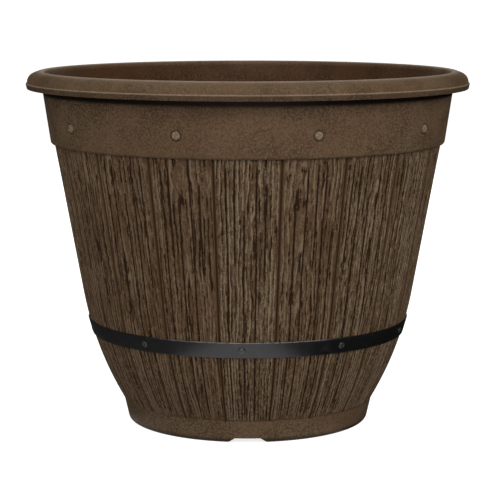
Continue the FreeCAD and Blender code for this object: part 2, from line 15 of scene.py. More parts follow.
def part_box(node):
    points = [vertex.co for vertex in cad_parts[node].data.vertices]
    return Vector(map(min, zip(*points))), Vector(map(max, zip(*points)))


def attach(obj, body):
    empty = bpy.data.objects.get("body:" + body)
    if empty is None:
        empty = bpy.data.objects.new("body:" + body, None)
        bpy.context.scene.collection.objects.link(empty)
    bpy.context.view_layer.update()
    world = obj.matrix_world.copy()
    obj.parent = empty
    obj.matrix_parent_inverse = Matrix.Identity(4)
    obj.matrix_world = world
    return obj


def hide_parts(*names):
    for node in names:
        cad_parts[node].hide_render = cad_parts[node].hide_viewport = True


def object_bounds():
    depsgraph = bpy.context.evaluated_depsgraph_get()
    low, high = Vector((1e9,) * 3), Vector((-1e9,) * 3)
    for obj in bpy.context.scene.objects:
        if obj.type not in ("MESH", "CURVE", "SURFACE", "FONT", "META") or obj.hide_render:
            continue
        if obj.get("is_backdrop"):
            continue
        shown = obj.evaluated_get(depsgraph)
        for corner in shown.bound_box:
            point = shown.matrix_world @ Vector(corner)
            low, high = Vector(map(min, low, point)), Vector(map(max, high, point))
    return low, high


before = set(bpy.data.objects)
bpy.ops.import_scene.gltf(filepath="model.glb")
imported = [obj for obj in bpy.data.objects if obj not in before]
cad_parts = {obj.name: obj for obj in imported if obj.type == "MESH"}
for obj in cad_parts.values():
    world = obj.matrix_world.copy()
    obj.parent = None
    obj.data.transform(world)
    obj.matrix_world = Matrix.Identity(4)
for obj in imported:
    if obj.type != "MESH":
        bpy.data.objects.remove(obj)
cad_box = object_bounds()

# %% [markdown]
# The pot's own sizes come next. Its height is read from the frame, and the rest are the sizes that its
# mould is cut to. With a name for each, every later formula can be read aloud.

# %% Sizes of rim, collar, wall and foot
MM = 0.001
CM = 0.01
lowest_corner, highest_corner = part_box("pot_shell")
POT_HEIGHT = highest_corner.z
RIM_RADIUS = 195 * MM
WALL = 3.5 * MM

RIM_DEPTH = 15.2 * MM
LIP_BASE = POT_HEIGHT - RIM_DEPTH
LIP_HEIGHT = 4.3 * MM
LIP_FLARE = 1.1 * MM
LIP_UNDERCUT = 1 * MM
LIP_ROUND = 0.6 * MM
RIM_OVERHANG = 14.3 * MM
RIM_BATTER = 0.8 * MM
SHOULDER_DROP = 3.7 * MM
SHOULDER_ROUND = 8 * MM
CREST_WIDTH = 4 * MM
CREST_ROUND = 7.5 * MM
MOUTH_ROUND = 2.4 * MM

COLLAR_HEIGHT = 48 * MM
COLLAR_STEP = 3.2 * MM
COLLAR_ROUND = 2.6 * MM
COLLAR_LEAN = math.radians(8.4)
COLLAR_BASE = LIP_BASE - COLLAR_HEIGHT
COLLAR_EDGE = RIM_RADIUS - RIM_OVERHANG - COLLAR_HEIGHT * math.tan(COLLAR_LEAN)

STAVE_LEAN = math.radians(10.25)
STAVE_TOP = COLLAR_EDGE - COLLAR_STEP
BELLY_TOP = 116 * MM
BELLY_INSET = 35.4 * MM
HOOP_DROP = 29 * MM
HOOP_CENTRE = BELLY_TOP - HOOP_DROP
BELLY_RADIUS = STAVE_TOP - (COLLAR_BASE - BELLY_TOP) * math.tan(STAVE_LEAN)

FOOT_HEIGHT = 20 * MM
FOOT_LEAN = math.radians(12.95)
FOOT_ROUND = 4.5 * MM
FOOT_WALL = 7 * MM
FOOT_TOP = BELLY_RADIUS - BELLY_INSET
FOOT_BASE = FOOT_TOP - FOOT_HEIGHT * math.tan(FOOT_LEAN)
FLOOR_LIFT = 8 * MM
FLOOR_THICKNESS = 4 * MM
FLOOR_TOP = FLOOR_LIFT + FLOOR_THICKNESS
FLOOR_ROUND = 4 * MM

FULL_TURN = 2 * math.pi
FRONT = -math.pi / 2
STAVE_COUNT = 19
STAVE_STEP = FULL_TURN / STAVE_COUNT
STUD_COUNT = 10
STUD_STEP = 2 * STAVE_STEP
STUD_FIRST = FRONT - STUD_STEP * (STUD_COUNT - 1) / 2
STUD_RISE = 19 * MM
STUD_HEIGHT = COLLAR_BASE + STUD_RISE
STUD_RECESS_RADIUS = 4.7 * MM
STUD_RECESS_DEPTH = 0.5 * MM
print(f"pot: {2 * RIM_RADIUS / MM:.1f} mm across, {POT_HEIGHT / MM:.1f} mm high,",
      f"standing at {lowest_corner.z / MM:.1f} mm")

# %% [markdown]
# The wall is straight from the collar down to the belly, then an arc that leaves the straight run
# smoothly and ends at the foot. One function gives its outside radius at any height, so that the
# shell, the staves, the hoop and the rivets all agree on where the wall is.

# %% Radius of the wall, the collar and the foot
belly_fall = BELLY_TOP - FOOT_HEIGHT
belly_sag = BELLY_INSET * math.cos(STAVE_LEAN) - belly_fall * math.sin(STAVE_LEAN)
BELLY_BEND = (BELLY_INSET ** 2 + belly_fall ** 2) / (2 * belly_sag)
BELLY_CENTRE_RADIUS = BELLY_RADIUS - BELLY_BEND * math.cos(STAVE_LEAN)
BELLY_CENTRE_HEIGHT = BELLY_TOP + BELLY_BEND * math.sin(STAVE_LEAN)


def wall_radius(height):
    """Outside radius of the stave wall, for one height or an array of them."""
    height = np.asarray(height)
    straight = STAVE_TOP - (COLLAR_BASE - height) * math.tan(STAVE_LEAN)
    below = np.minimum(height, BELLY_TOP)
    arc = BELLY_CENTRE_RADIUS + np.sqrt(BELLY_BEND ** 2 - (BELLY_CENTRE_HEIGHT - below) ** 2)
    return np.where(height > BELLY_TOP, straight, arc)


def collar_radius(height):
    """Outside radius of the collar."""
    return COLLAR_EDGE + (height - COLLAR_BASE) * math.tan(COLLAR_LEAN)


def foot_radius(height):
    """Outside radius of the foot band."""
    return FOOT_BASE + height * math.tan(FOOT_LEAN)


print("wall radius at the foot, the belly and the collar:",
      [f"{wall_radius(z) / MM:.1f}" for z in (FOOT_HEIGHT, BELLY_TOP, COLLAR_BASE)])

# %% [markdown]
# Node trees are easier to read as arithmetic than as a list of links. A small class wraps a socket, so
# that adding or multiplying two of them adds a Math node, and one method adds every other node.
# The same two classes serve the shaders and the Geometry Nodes.

# %% A number in a node tree
class Socket:
    """A number in a node tree: arithmetic on it adds Math nodes."""

    def __init__(self, graph, source):
        self.graph = graph
        self.source = source

    def math(self, operation, *others):
        return self.graph.add("ShaderNodeMath", {"operation": operation}, (self, *others))

    def __add__(self, other):
        return self.math("ADD", other)

    def __mul__(self, other):
        return self.math("MULTIPLY", other)

    def __sub__(self, other):
        return self.math("SUBTRACT", other)

    def __truediv__(self, other):
        return self.math("DIVIDE", other)

    def __rsub__(self, other):
        return self.graph.add("ShaderNodeMath", {"operation": "SUBTRACT"}, (other, self))

    __radd__ = __add__


print(Socket.__doc__)

# %% A node tree
X, Y, Z = range(3)
NOISE_MIDDLE = 0.5
# Where the Mix node keeps its share, its two colours and the mixed colour
MIX_SHARE = 0
MIX_FIRST = 6
MIX_SECOND = 7
MIX_RESULT = 2


class Graph:
    """A node tree to which nodes are added one call at a time."""

    def __init__(self, tree):
        self.tree = tree

    def add(self, kind, settings=None, inputs=(), output=0):
        """Adds a node: its settings first, then its sockets by place or by name. Gives one output."""
        node = self.tree.nodes.new(kind)
        for name, value in (settings or {}).items():
            setattr(node, name, value)
        pairs = inputs.items() if isinstance(inputs, dict) else enumerate(inputs)
        for key, value in pairs:
            if isinstance(value, Socket):
                self.tree.links.new(value.source, node.inputs[key])
            else:
                node.inputs[key].default_value = value
        return Socket(self, node.outputs[output]) if node.outputs else None

    def vector(self, x, y, z):
        return self.add("ShaderNodeCombineXYZ", None, (x, y, z))

    def part(self, vector, axis):
        return self.add("ShaderNodeSeparateXYZ", None, (vector,), output=axis)

    def object_point(self):
        """The shaded point, in the piece's own coordinates."""
        return self.add("ShaderNodeTexCoord", output="Object")

    def noise(self, vector, scale=1.0, detail=2.0, roughness=0.5):
        """Smooth random values from 0 to 1, the same on every run."""
        sockets = {"Vector": vector, "Scale": scale, "Detail": detail, "Roughness": roughness}
        return self.add("ShaderNodeTexNoise", None, sockets)

    def ramp(self, value, start, end, low=0.0, high=1.0):
        """Eases from low to high while a value goes from start to end."""
        return self.add("ShaderNodeMapRange", {"interpolation_type": "SMOOTHSTEP"},
                        (value, start, end, low, high))

    def blend(self, share, first, second, kind="MIX"):
        """Mixes two colours."""
        settings = {"data_type": "RGBA", "blend_type": kind}
        sockets = {MIX_SHARE: share, MIX_FIRST: first, MIX_SECOND: second}
        return self.add("ShaderNodeMix", settings, sockets, output=MIX_RESULT)


print(Graph.__doc__)

# %% [markdown]
# Every finish on the pot is a Principled shader with sockets that vary from place to place. A few helpers
# start a material, end it, and turn a height map into a tilted surface normal. Tilted normals show a
# roughness that would be too fine to build as mesh.

# %% Helpers for finishes
def colour(red, green, blue):
    """A linear colour with full alpha."""
    return (red, green, blue, 1.0)


def new_finish(name):
    """An empty material and the graph of its nodes."""
    material = bpy.data.materials.new(name)
    material.use_nodes = True
    material.node_tree.nodes.clear()
    return material, Graph(material.node_tree)


def close_finish(graph, sockets):
    """Ends a material in a Principled shader with these sockets."""
    shader = graph.add("ShaderNodeBsdfPrincipled", None, sockets)
    graph.add("ShaderNodeOutputMaterial", None, {"Surface": shader})


def bump(graph, height, distance):
    """A surface normal tilted by a height map of so many metres."""
    return graph.add("ShaderNodeBump", None, {"Strength": 1.0, "Distance": distance, "Height": height})


print(close_finish.__doc__)

# %% [markdown]
# Shade is painted into the colour where little light reaches: in the gap under the lip, on the lip's own
# face, along the foot's lower edge and in the recess round each stud. A painted highlight runs along the
# crest of the rim and the lip's upper edge. All of these can be found from a point's height, its radius
# and its turn about the axis, so the shader works them out from Object coordinates too.

# %% Where the shell is inside, under the lip or beside a stud
INSIDE_FROM = 0.3 * WALL
INSIDE_TO = 0.8 * WALL
# Width of the painted highlight along the crest and the lip's upper edge
HIGHLIGHT_BAND = 1.6 * MM
# Painted shade under the lip, on the lip's face and along the foot's lower edge
GAP_START = 7 * MM
GAP_FULL = 3.6 * MM
GAP_SHADE = 0.95
LIP_SHADE = 0.3
FOOT_SHADE = 0.85
FOOT_SHADE_START = 5.5 * MM
FOOT_SHADE_FULL = 1.5 * MM
# Painted shade in the recess round each stud
RING_SHADE = 0.55
RING_OUTSIDE = 0.5 * MM
RING_INSIDE = 1 * MM


class Place:
    """Height and radius of a shaded point on the pot, and what follows from them."""

    def __init__(self, graph):
        self.graph = graph
        self.point = graph.object_point()
        self.x, self.y, self.height = (graph.part(self.point, axis) for axis in (X, Y, Z))
        self.radius = (self.x * self.x + self.y * self.y).math("SQRT")

    def inside(self):
        """1 on the inside of the wall and 0 on its outside."""
        collar = (self.height - COLLAR_BASE) * math.tan(COLLAR_LEAN) + COLLAR_EDGE
        within = self.graph.ramp(collar - self.radius, INSIDE_FROM, INSIDE_TO)
        under_crest = self.graph.ramp(self.height, POT_HEIGHT - 3 * HIGHLIGHT_BAND, POT_HEIGHT - HIGHLIGHT_BAND, 1, 0)
        return within * under_crest * self.graph.ramp(self.height, FOOT_HEIGHT, 2 * FOOT_HEIGHT)

    def painted_highlight(self):
        """1 along the crest of the rim and the lip's upper edge, where a highlight is painted."""
        crest = self.graph.ramp(self.height, POT_HEIGHT - HIGHLIGHT_BAND, POT_HEIGHT)
        off_edge = (self.height - LIP_BASE - LIP_HEIGHT - LIP_FLARE / 2).math("ABSOLUTE")
        return crest.math("MAXIMUM", self.graph.ramp(off_edge, HIGHLIGHT_BAND / 2, 0))

    def painted_shade(self):
        """How much shade is painted on the outside under the lip, on its face and along the foot's edge."""
        gap = self.graph.ramp(self.height, LIP_BASE - GAP_START, LIP_BASE - GAP_FULL, 0, GAP_SHADE)
        gap = gap * self.height.math("LESS_THAN", LIP_BASE)
        lip_top = LIP_BASE + LIP_HEIGHT
        lip = self.graph.ramp(self.height, lip_top, lip_top - LIP_UNDERCUT / 2, 0, LIP_SHADE)
        lip = lip * self.height.math("GREATER_THAN", LIP_BASE)
        foot = self.graph.ramp(self.height, FOOT_SHADE_START, FOOT_SHADE_FULL, 0, FOOT_SHADE)
        return gap.math("MAXIMUM", lip).math("MAXIMUM", foot)

    def stud_ring(self):
        """How much shade is painted in the recess round the nearest stud. Studs stand on every other stave.
        """
        turn = self.y.math("ARCTAN2", self.x) - FRONT
        turn = turn.math("WRAP", math.pi, -math.pi)
        number = (turn - STAVE_STEP) / STUD_STEP
        across = (number - number.math("ROUND")) * STUD_STEP * self.radius
        up = self.height - STUD_HEIGHT
        away = (across * across + up * up).math("SQRT")
        clean = STUD_RECESS_RADIUS + RING_OUTSIDE
        return self.graph.ramp(away, clean, STUD_RECESS_RADIUS - RING_INSIDE, 0, RING_SHADE)


print("dirt starts", GAP_START / MM, "mm under the lip")

# %% [markdown]
# A moulded resin has no single colour. This one is a brown with soft clouds of lighter and darker
# pigment, a fine stipple from the spark-worn face of the mould, and a rim that was left smoother.
# Clouds and stipple are noise on Object coordinates, which stay put on the piece from every side.

# %% Resin of rim, collar, inside and foot
RESIN_DARK = colour(0.046, 0.027, 0.013)
RESIN_LIGHT = colour(0.116, 0.075, 0.043)
RESIN_RED = colour(0.092, 0.050, 0.027)
# Colour of the painted highlight on the crest and the lip's upper edge
RESIN_HIGHLIGHT = colour(0.24, 0.18, 0.125)
# Colour of the painted shade under the lip, on the lip's face, along the foot's edge and round the studs
RESIN_SHADE = colour(0.004, 0.002, 0.001)
# Painted shade: what the inside of the pot keeps of the colour
INSIDE_SHADE = colour(0.60, 0.48, 0.42)
CLOUD_SCALE = 30
CLOUD_WEIGHT = 0.3
WARM_SCALE = 15
WARM_SHARE = 0.4
STIPPLE_SCALE = 620
STIPPLE_WEIGHT = 3.4
STIPPLE_DEPTH = 0.45 * MM
SMOOTH_RIM_STIPPLE = 0.45
MIDDLE_TONE = 0.34
RESIN_ROUGHNESS = 0.62
CLOUD_GLOSS = 0.08
RESIN_SPECULAR = 0.1


def resin_finish():
    material, graph = new_finish("brown_resin")
    place = Place(graph)
    clouds = graph.noise(place.point, CLOUD_SCALE, detail=4, roughness=0.6)
    clouds = graph.ramp(clouds, start=0.3, end=0.7)
    warmth = graph.ramp(graph.noise(place.point, WARM_SCALE), start=0.42, end=0.66)
    stipple = graph.noise(place.point, STIPPLE_SCALE, detail=3, roughness=0.65)
    roughcast = graph.ramp(place.height, LIP_BASE, LIP_BASE + LIP_HEIGHT, 1, SMOOTH_RIM_STIPPLE)
    speckle = (stipple - NOISE_MIDDLE) * roughcast
    tone = clouds * CLOUD_WEIGHT + speckle * STIPPLE_WEIGHT + MIDDLE_TONE
    inside = place.inside()
    outside = 1 - inside
    base = graph.blend(graph.ramp(tone, 0, 1), RESIN_DARK, RESIN_LIGHT)
    base = graph.blend(warmth * WARM_SHARE, base, RESIN_RED)
    # Painted highlight on the rim's crest and the lip's upper edge
    base = graph.blend(place.painted_highlight() * outside * stipple, base, RESIN_HIGHLIGHT)
    # Painted shade on the inside of the pot
    base = graph.blend(inside, base, INSIDE_SHADE, "MULTIPLY")
    # Painted shade under the lip, on the lip's face and along the foot's lower edge
    base = graph.blend(place.painted_shade() * outside, base, RESIN_SHADE)
    # Painted shade in the recess round each stud
    base = graph.blend(place.stud_ring() * outside, base, RESIN_SHADE)
    close_finish(graph, {
        "Base Color": base,
        "Roughness": RESIN_ROUGHNESS - clouds * CLOUD_GLOSS,
        "Specular IOR Level": RESIN_SPECULAR,
        "Normal": bump(graph, speckle, STIPPLE_DEPTH),
    })
    return material


resin = resin_finish()
print("made", resin.name)

# %% [markdown]
# The studs are of the same resin, but they stand proud and get rubbed, so they are paler than the collar.
# One noise decides where the tan shows through, and pits the surface there as well.

# %% Resin of the studs
STUD_BROWN = colour(0.092, 0.064, 0.039)
STUD_TAN = colour(0.19, 0.138, 0.089)
STUD_ROUGHNESS = 0.58
STUD_GLOSS = 0.1
STUD_SPECULAR = 0.2
STUD_PITTING = 0.1 * MM


def stud_finish():
    material, graph = new_finish("rubbed_stud_resin")
    place = graph.object_point()
    rubbed = graph.ramp(graph.noise(place, STIPPLE_SCALE, detail=3, roughness=0.6), start=0.3, end=0.62)
    close_finish(graph, {
        "Base Color": graph.blend(rubbed, STUD_BROWN, STUD_TAN),
        "Roughness": STUD_ROUGHNESS - rubbed * STUD_GLOSS,
        "Specular IOR Level": STUD_SPECULAR,
        "Normal": bump(graph, rubbed, STUD_PITTING),
    })
    return material


stud_resin = stud_finish()
print("made", stud_resin.name)

# %% [markdown]
# The shell of the pot is one moulding, so its section can be turned on a lathe: under the floor, round
# the foot, up the wall, over the rim and down the inside. Corners are rounded with arcs, because a sharp
# edge catches no light and looks drawn. Behind the staves the shell is cut back by the depth of a skin,
# which the staves then fill.

# %% Rounded outlines
ARC_STEPS = 9


def unit(vector):
    return vector / np.linalg.norm(vector)


def round_corners(corners):
    """The points of an outline, with an arc wherever a corner has a rounding."""
    points = []
    for index, (across, up, rounding) in enumerate(corners):
        here = np.array((across, up))
        if not rounding:
            points.append(here)
            continue
        before = unit(np.array(corners[index - 1][:2]) - here)
        after = unit(np.array(corners[index + 1][:2]) - here)
        half = math.acos(before @ after) / 2
        centre = here + unit(before + after) * rounding / math.sin(half)
        start = here + before * rounding / math.tan(half) - centre
        end = here + after * rounding / math.tan(half) - centre
        sweep = math.pi - 2 * half
        for share in np.linspace(0, 1, ARC_STEPS):
            turned = start * math.sin((1 - share) * sweep) + end * math.sin(share * sweep)
            points.append(centre + turned / math.sin(sweep))
    return points


print("an arc has", ARC_STEPS, "points")

# %% A section turned into a mesh
def lathe(name, section, columns):
    """A closed mesh from a section that starts and ends on the Z axis."""
    turns = np.arange(columns) * FULL_TURN / columns
    rings = [np.column_stack((r * np.cos(turns), r * np.sin(turns), np.full(columns, z)))
             for r, z in section[1:-1]]
    poles = [(0, 0, section[0][1]), (0, 0, section[-1][1])]
    last = 1 + len(rings) * columns
    after = np.roll(np.arange(columns), -1)
    faces = [(0, 1 + after[i], 1 + i) for i in range(columns)]
    for ring in range(len(rings) - 1):
        low = 1 + ring * columns
        high = low + columns
        faces += [(low + i, low + after[i], high + after[i], high + i) for i in range(columns)]
    top = last - columns
    faces += [(top + i, top + after[i], last) for i in range(columns)]
    mesh = bpy.data.meshes.new(name)
    mesh.from_pydata(np.vstack((poles[:1], *rings, poles[1:])), [], faces)
    return mesh


print(lathe.__doc__)

# %% Pieces, their shading and their measures
def new_piece(name, mesh):
    """An object at the origin for a mesh that already lies in its place."""
    piece = bpy.data.objects.new(name, mesh)
    bpy.context.scene.collection.objects.link(piece)
    return piece


def smooth(piece, sharp_above):
    """Shades a piece smoothly, except along edges that turn by more than an angle in degrees."""
    piece.data.shade_smooth()
    piece.data.set_sharp_from_angle(angle=math.radians(sharp_above))


def measure(piece):
    """A piece's triangles, volume and open edges, in a line of text."""
    form = bmesh.new()
    form.from_mesh(piece.data)
    triangles = sum(len(face.verts) - 2 for face in form.faces)
    open_edges = sum(not edge.is_manifold for edge in form.edges)
    volume = form.calc_volume(signed=True) / CM ** 3
    form.free()
    return f"{piece.name}: {triangles} triangles, {volume:.2f} cm3, {open_edges} open edges"


print(measure.__doc__)

# %% The shell's section
SKIN = 1.5 * MM
SHELL_COLUMNS = 480
HIDDEN_WALL_ROWS = 20
INNER_WALL_ROWS = 30
COLLAR_ROWS = 9
SMALL_ROUND = 0.8 * MM
BACKING_GAP = 0.05 * MM


def wall_points(start, end, inset, count):
    """Plain corners along the wall, so far in from its outside."""
    return [(wall_radius(z) - inset, z, 0) for z in np.linspace(start, end, count)]


def shell_corners():
    mouth = collar_radius(POT_HEIGHT) - WALL
    rim_side = RIM_RADIUS - LIP_FLARE
    shoulder = rim_side - RIM_BATTER
    shoulder_height = POT_HEIGHT - SHOULDER_DROP
    ledge = COLLAR_BASE + WALL
    collar_heights = np.linspace(COLLAR_BASE + 2 * COLLAR_ROUND, LIP_BASE, COLLAR_ROWS)
    return [
        (0, FLOOR_LIFT, 0),
        (FOOT_BASE - FOOT_WALL, FLOOR_LIFT, SMALL_ROUND),
        (FOOT_BASE - FOOT_WALL, 0, SMALL_ROUND),
        (FOOT_BASE, 0, FOOT_ROUND),
        (FOOT_TOP, FOOT_HEIGHT, 0),
        *wall_points(FOOT_HEIGHT, COLLAR_BASE, SKIN + BACKING_GAP, HIDDEN_WALL_ROWS),
        (COLLAR_EDGE, COLLAR_BASE, COLLAR_ROUND),
        *[(collar_radius(z), z, 0) for z in collar_heights],
        (collar_radius(POT_HEIGHT - WALL), POT_HEIGHT - WALL, SMALL_ROUND),
        (shoulder - WALL, shoulder_height - WALL, 0),
        (RIM_RADIUS - WALL, LIP_BASE, SMALL_ROUND),
        (RIM_RADIUS - LIP_UNDERCUT, LIP_BASE, LIP_ROUND),
        (RIM_RADIUS, LIP_BASE + LIP_HEIGHT, LIP_ROUND),
        (rim_side, LIP_BASE + LIP_HEIGHT + LIP_FLARE, SMALL_ROUND),
        (shoulder, shoulder_height, SHOULDER_ROUND),
        (mouth + CREST_WIDTH, POT_HEIGHT, CREST_ROUND),
        (mouth, POT_HEIGHT, MOUTH_ROUND),
        (collar_radius(ledge) - WALL, ledge, SMALL_ROUND),
        *wall_points(ledge, FOOT_HEIGHT, WALL, INNER_WALL_ROWS),
        (foot_radius(FLOOR_TOP) - WALL, FLOOR_TOP, FLOOR_ROUND),
        (0, FLOOR_TOP, 0),
    ]


shell = new_piece("shell", lathe("shell", round_corners(shell_corners()), SHELL_COLUMNS))
print(measure(shell))

# %% [markdown]
# Three things are cut into the moulding: drain notches in the foot ring, drain holes in the floor and a
# shallow round recess under each collar stud. Each cutter is a short prism, set in place by a matrix, and
# one Boolean with all of them together leaves a clean closed mesh.

# %% Cutters
NOTCH_COUNT = 4
NOTCH_WIDTH = 34 * MM
NOTCH_TOP_WIDTH = 22 * MM
NOTCH_HEIGHT = 4.2 * MM
NOTCH_ROUND = 1.5 * MM
DRAIN_COUNT = 4
DRAIN_RADIUS = 7 * MM
DRAIN_CIRCLE = 65 * MM
OVERCUT = 2 * MM
ROUND_SIDES = 48
# Stands a prism's outline upright, so that its length runs outwards along X
OUTWARD = Matrix(((0, 0, 1, 0), (1, 0, 0, 0), (0, 1, 0, 0), (0, 0, 0, 1)))


def circle(radius):
    turns = np.arange(ROUND_SIDES) * FULL_TURN / ROUND_SIDES
    return [(radius * math.cos(turn), radius * math.sin(turn)) for turn in turns]


def add_prism(form, outline, length, place):
    """Adds a prism to a mesh under construction: an outline, carried so far along its own Z."""
    bottom = [form.verts.new(place @ Vector((x, y, 0))) for x, y in outline]
    top = [form.verts.new(place @ Vector((x, y, length))) for x, y in outline]
    form.faces.new(bottom[::-1])
    form.faces.new(top)
    for index in range(len(outline)):
        form.faces.new((bottom[index - 1], bottom[index], top[index], top[index - 1]))


def round_the_pot(count, first, step):
    """Even turns about the pot's axis, as matrices."""
    return [Matrix.Rotation(first + step * index, 4, "Z") for index in range(count)]


def notch_outline():
    half, half_top = NOTCH_WIDTH / 2, NOTCH_TOP_WIDTH / 2
    return round_corners([
        (-half, -OVERCUT, 0),
        (half, -OVERCUT, 0),
        (half, 0, 0),
        (half_top, NOTCH_HEIGHT, NOTCH_ROUND),
        (-half_top, NOTCH_HEIGHT, NOTCH_ROUND),
        (-half, 0, 0),
    ])


print(NOTCH_COUNT, "notches,", DRAIN_COUNT, "drain holes and", STUD_COUNT, "recesses to cut")

# %% Cut the notches, the drain holes and the stud recesses
def settle(piece):
    """Makes what a piece's modifiers show into its plain mesh."""
    evaluated = piece.evaluated_get(bpy.context.evaluated_depsgraph_get())
    mesh = bpy.data.meshes.new_from_object(evaluated)
    piece.modifiers.clear()
    piece.data = mesh


form = bmesh.new()
inside_foot = Matrix.Translation((FOOT_BASE - FOOT_WALL - OVERCUT, 0, 0)) @ OUTWARD
for turn in round_the_pot(NOTCH_COUNT, FRONT, FULL_TURN / NOTCH_COUNT):
    add_prism(form, notch_outline(), FOOT_WALL + 2 * OVERCUT, turn @ inside_foot)
under_drain = Matrix.Translation((DRAIN_CIRCLE, 0, FLOOR_LIFT - OVERCUT))
for turn in round_the_pot(DRAIN_COUNT, FRONT, FULL_TURN / DRAIN_COUNT):
    add_prism(form, circle(DRAIN_RADIUS), FLOOR_TOP - FLOOR_LIFT + 2 * OVERCUT, turn @ under_drain)
stud_axis = Matrix.Rotation(COLLAR_LEAN, 4, "Y") @ OUTWARD
recess_floor = (Matrix.Translation((collar_radius(STUD_HEIGHT), 0, STUD_HEIGHT)) @ stud_axis
                @ Matrix.Translation((0, 0, -STUD_RECESS_DEPTH)))
for turn in round_the_pot(STUD_COUNT, STUD_FIRST, STUD_STEP):
    add_prism(form, circle(STUD_RECESS_RADIUS), OVERCUT, turn @ recess_floor)
bmesh.ops.recalc_face_normals(form, faces=form.faces)
cutter_mesh = bpy.data.meshes.new("shell_cutters")
form.to_mesh(cutter_mesh)
form.free()

cutters = new_piece("shell_cutters", cutter_mesh)
cut = shell.modifiers.new("cut", "BOOLEAN")
cut.object = cutters
cut.solver = "EXACT"
settle(shell)
bpy.data.objects.remove(cutters)
shell.data.materials.append(resin)
smooth(shell, sharp_above=32)
print(measure(shell))

# %% [markdown]
# The staves are what the eye goes to: nineteen boards with deep weathered grain. On the real pot the
# grain is cast in the mould, so here it is real relief and no flat picture. Each stave starts as a plain
# closed plank: a fine grid outside, a narrow joint down each edge, and a coarse back. Attributes tell the
# grain where it is: which stave, how far across it, how deep it may be carved there, and where one of the
# main grooves runs. Those grooves are in the solids too, at the same places.

# %% Main grooves of the staves
MAIN_GROOVE_WIDTH = 1.7 * MM
MAIN_GROOVE_MARGIN = 0.6 * MM
MAIN_GROOVE_TAPER = 9 * MM
MAIN_GROOVE_WAVER = 0.3 * MM
MAIN_GROOVE_WAVELENGTH = 19 * MM
MAIN_GROOVE_PHASE = 2
# Depth in a groove's middle, over 1 for a flat bottom, and the rate at which it falls to the sides
MAIN_GROOVE_BOTTOM = 1.6
MAIN_GROOVE_SIDES = 2.2
# Three kinds of stave, in turn round the pot, by their main grooves. Each groove has its place as a share
# of half the stave's width, and its ends as shares of the straight wall's height. One that starts at the
# wall's foot fades out over the belly.
STAVE_GRAINS = (
    ((-0.64, 0, 1), (-0.4, 0.3, 1), (-0.12, 0, 0.7), (0.27, 0, 1), (0.56, 0.2, 0.9)),
    ((-0.53, 0, 0.85), (-0.2, 0, 1), (0.13, 0.25, 1), (0.39, 0, 1), (0.71, 0, 0.6)),
    ((-0.72, 0.15, 1), (-0.42, 0, 1), (-0.01, 0, 0.8), (0.32, 0, 1), (0.67, 0.1, 1)),
)


def main_grooves(stave, off_middle, heights):
    """How fully a main groove is cut, from 0 to 1, at each height and distance from a stave's middle."""
    half_width = STAVE_STEP / 2 * STAVE_TOP
    bottom = BELLY_TOP + MAIN_GROOVE_MARGIN
    rise = COLLAR_BASE - MAIN_GROOVE_MARGIN - bottom
    cut = np.zeros((len(heights), len(off_middle)))
    for number, (share, low, high) in enumerate(STAVE_GRAINS[stave % STAVE_COUNT % len(STAVE_GRAINS)]):
        sway = np.sin(heights / MAIN_GROOVE_WAVELENGTH + stave + MAIN_GROOVE_PHASE * number)
        middle = share * half_width + MAIN_GROOVE_WAVER * sway
        beside = np.abs(off_middle[None, :] - middle[:, None]) / MAIN_GROOVE_WIDTH
        start = bottom + low * rise if low else FOOT_HEIGHT
        to_end = np.minimum(heights - start, bottom + high * rise - heights)
        ends = np.clip(to_end / MAIN_GROOVE_TAPER, 0, 1)
        section = np.clip(MAIN_GROOVE_BOTTOM - MAIN_GROOVE_SIDES * beside, 0, 1)
        cut = np.maximum(cut, section * ends[:, None])
    return cut


print([len(grooves) for grooves in STAVE_GRAINS], "main grooves on the three kinds of stave")

# %% Plain planks
PLANK_COLUMNS = 112
PLANK_ROWS = 160
JOINT_HALF_WIDTH = 1.8 * MM
JOINT_FADE = 1.6 * MM
JOINT_SHARPNESS = 1.3
FOOT_FADE = 1.5 * MM


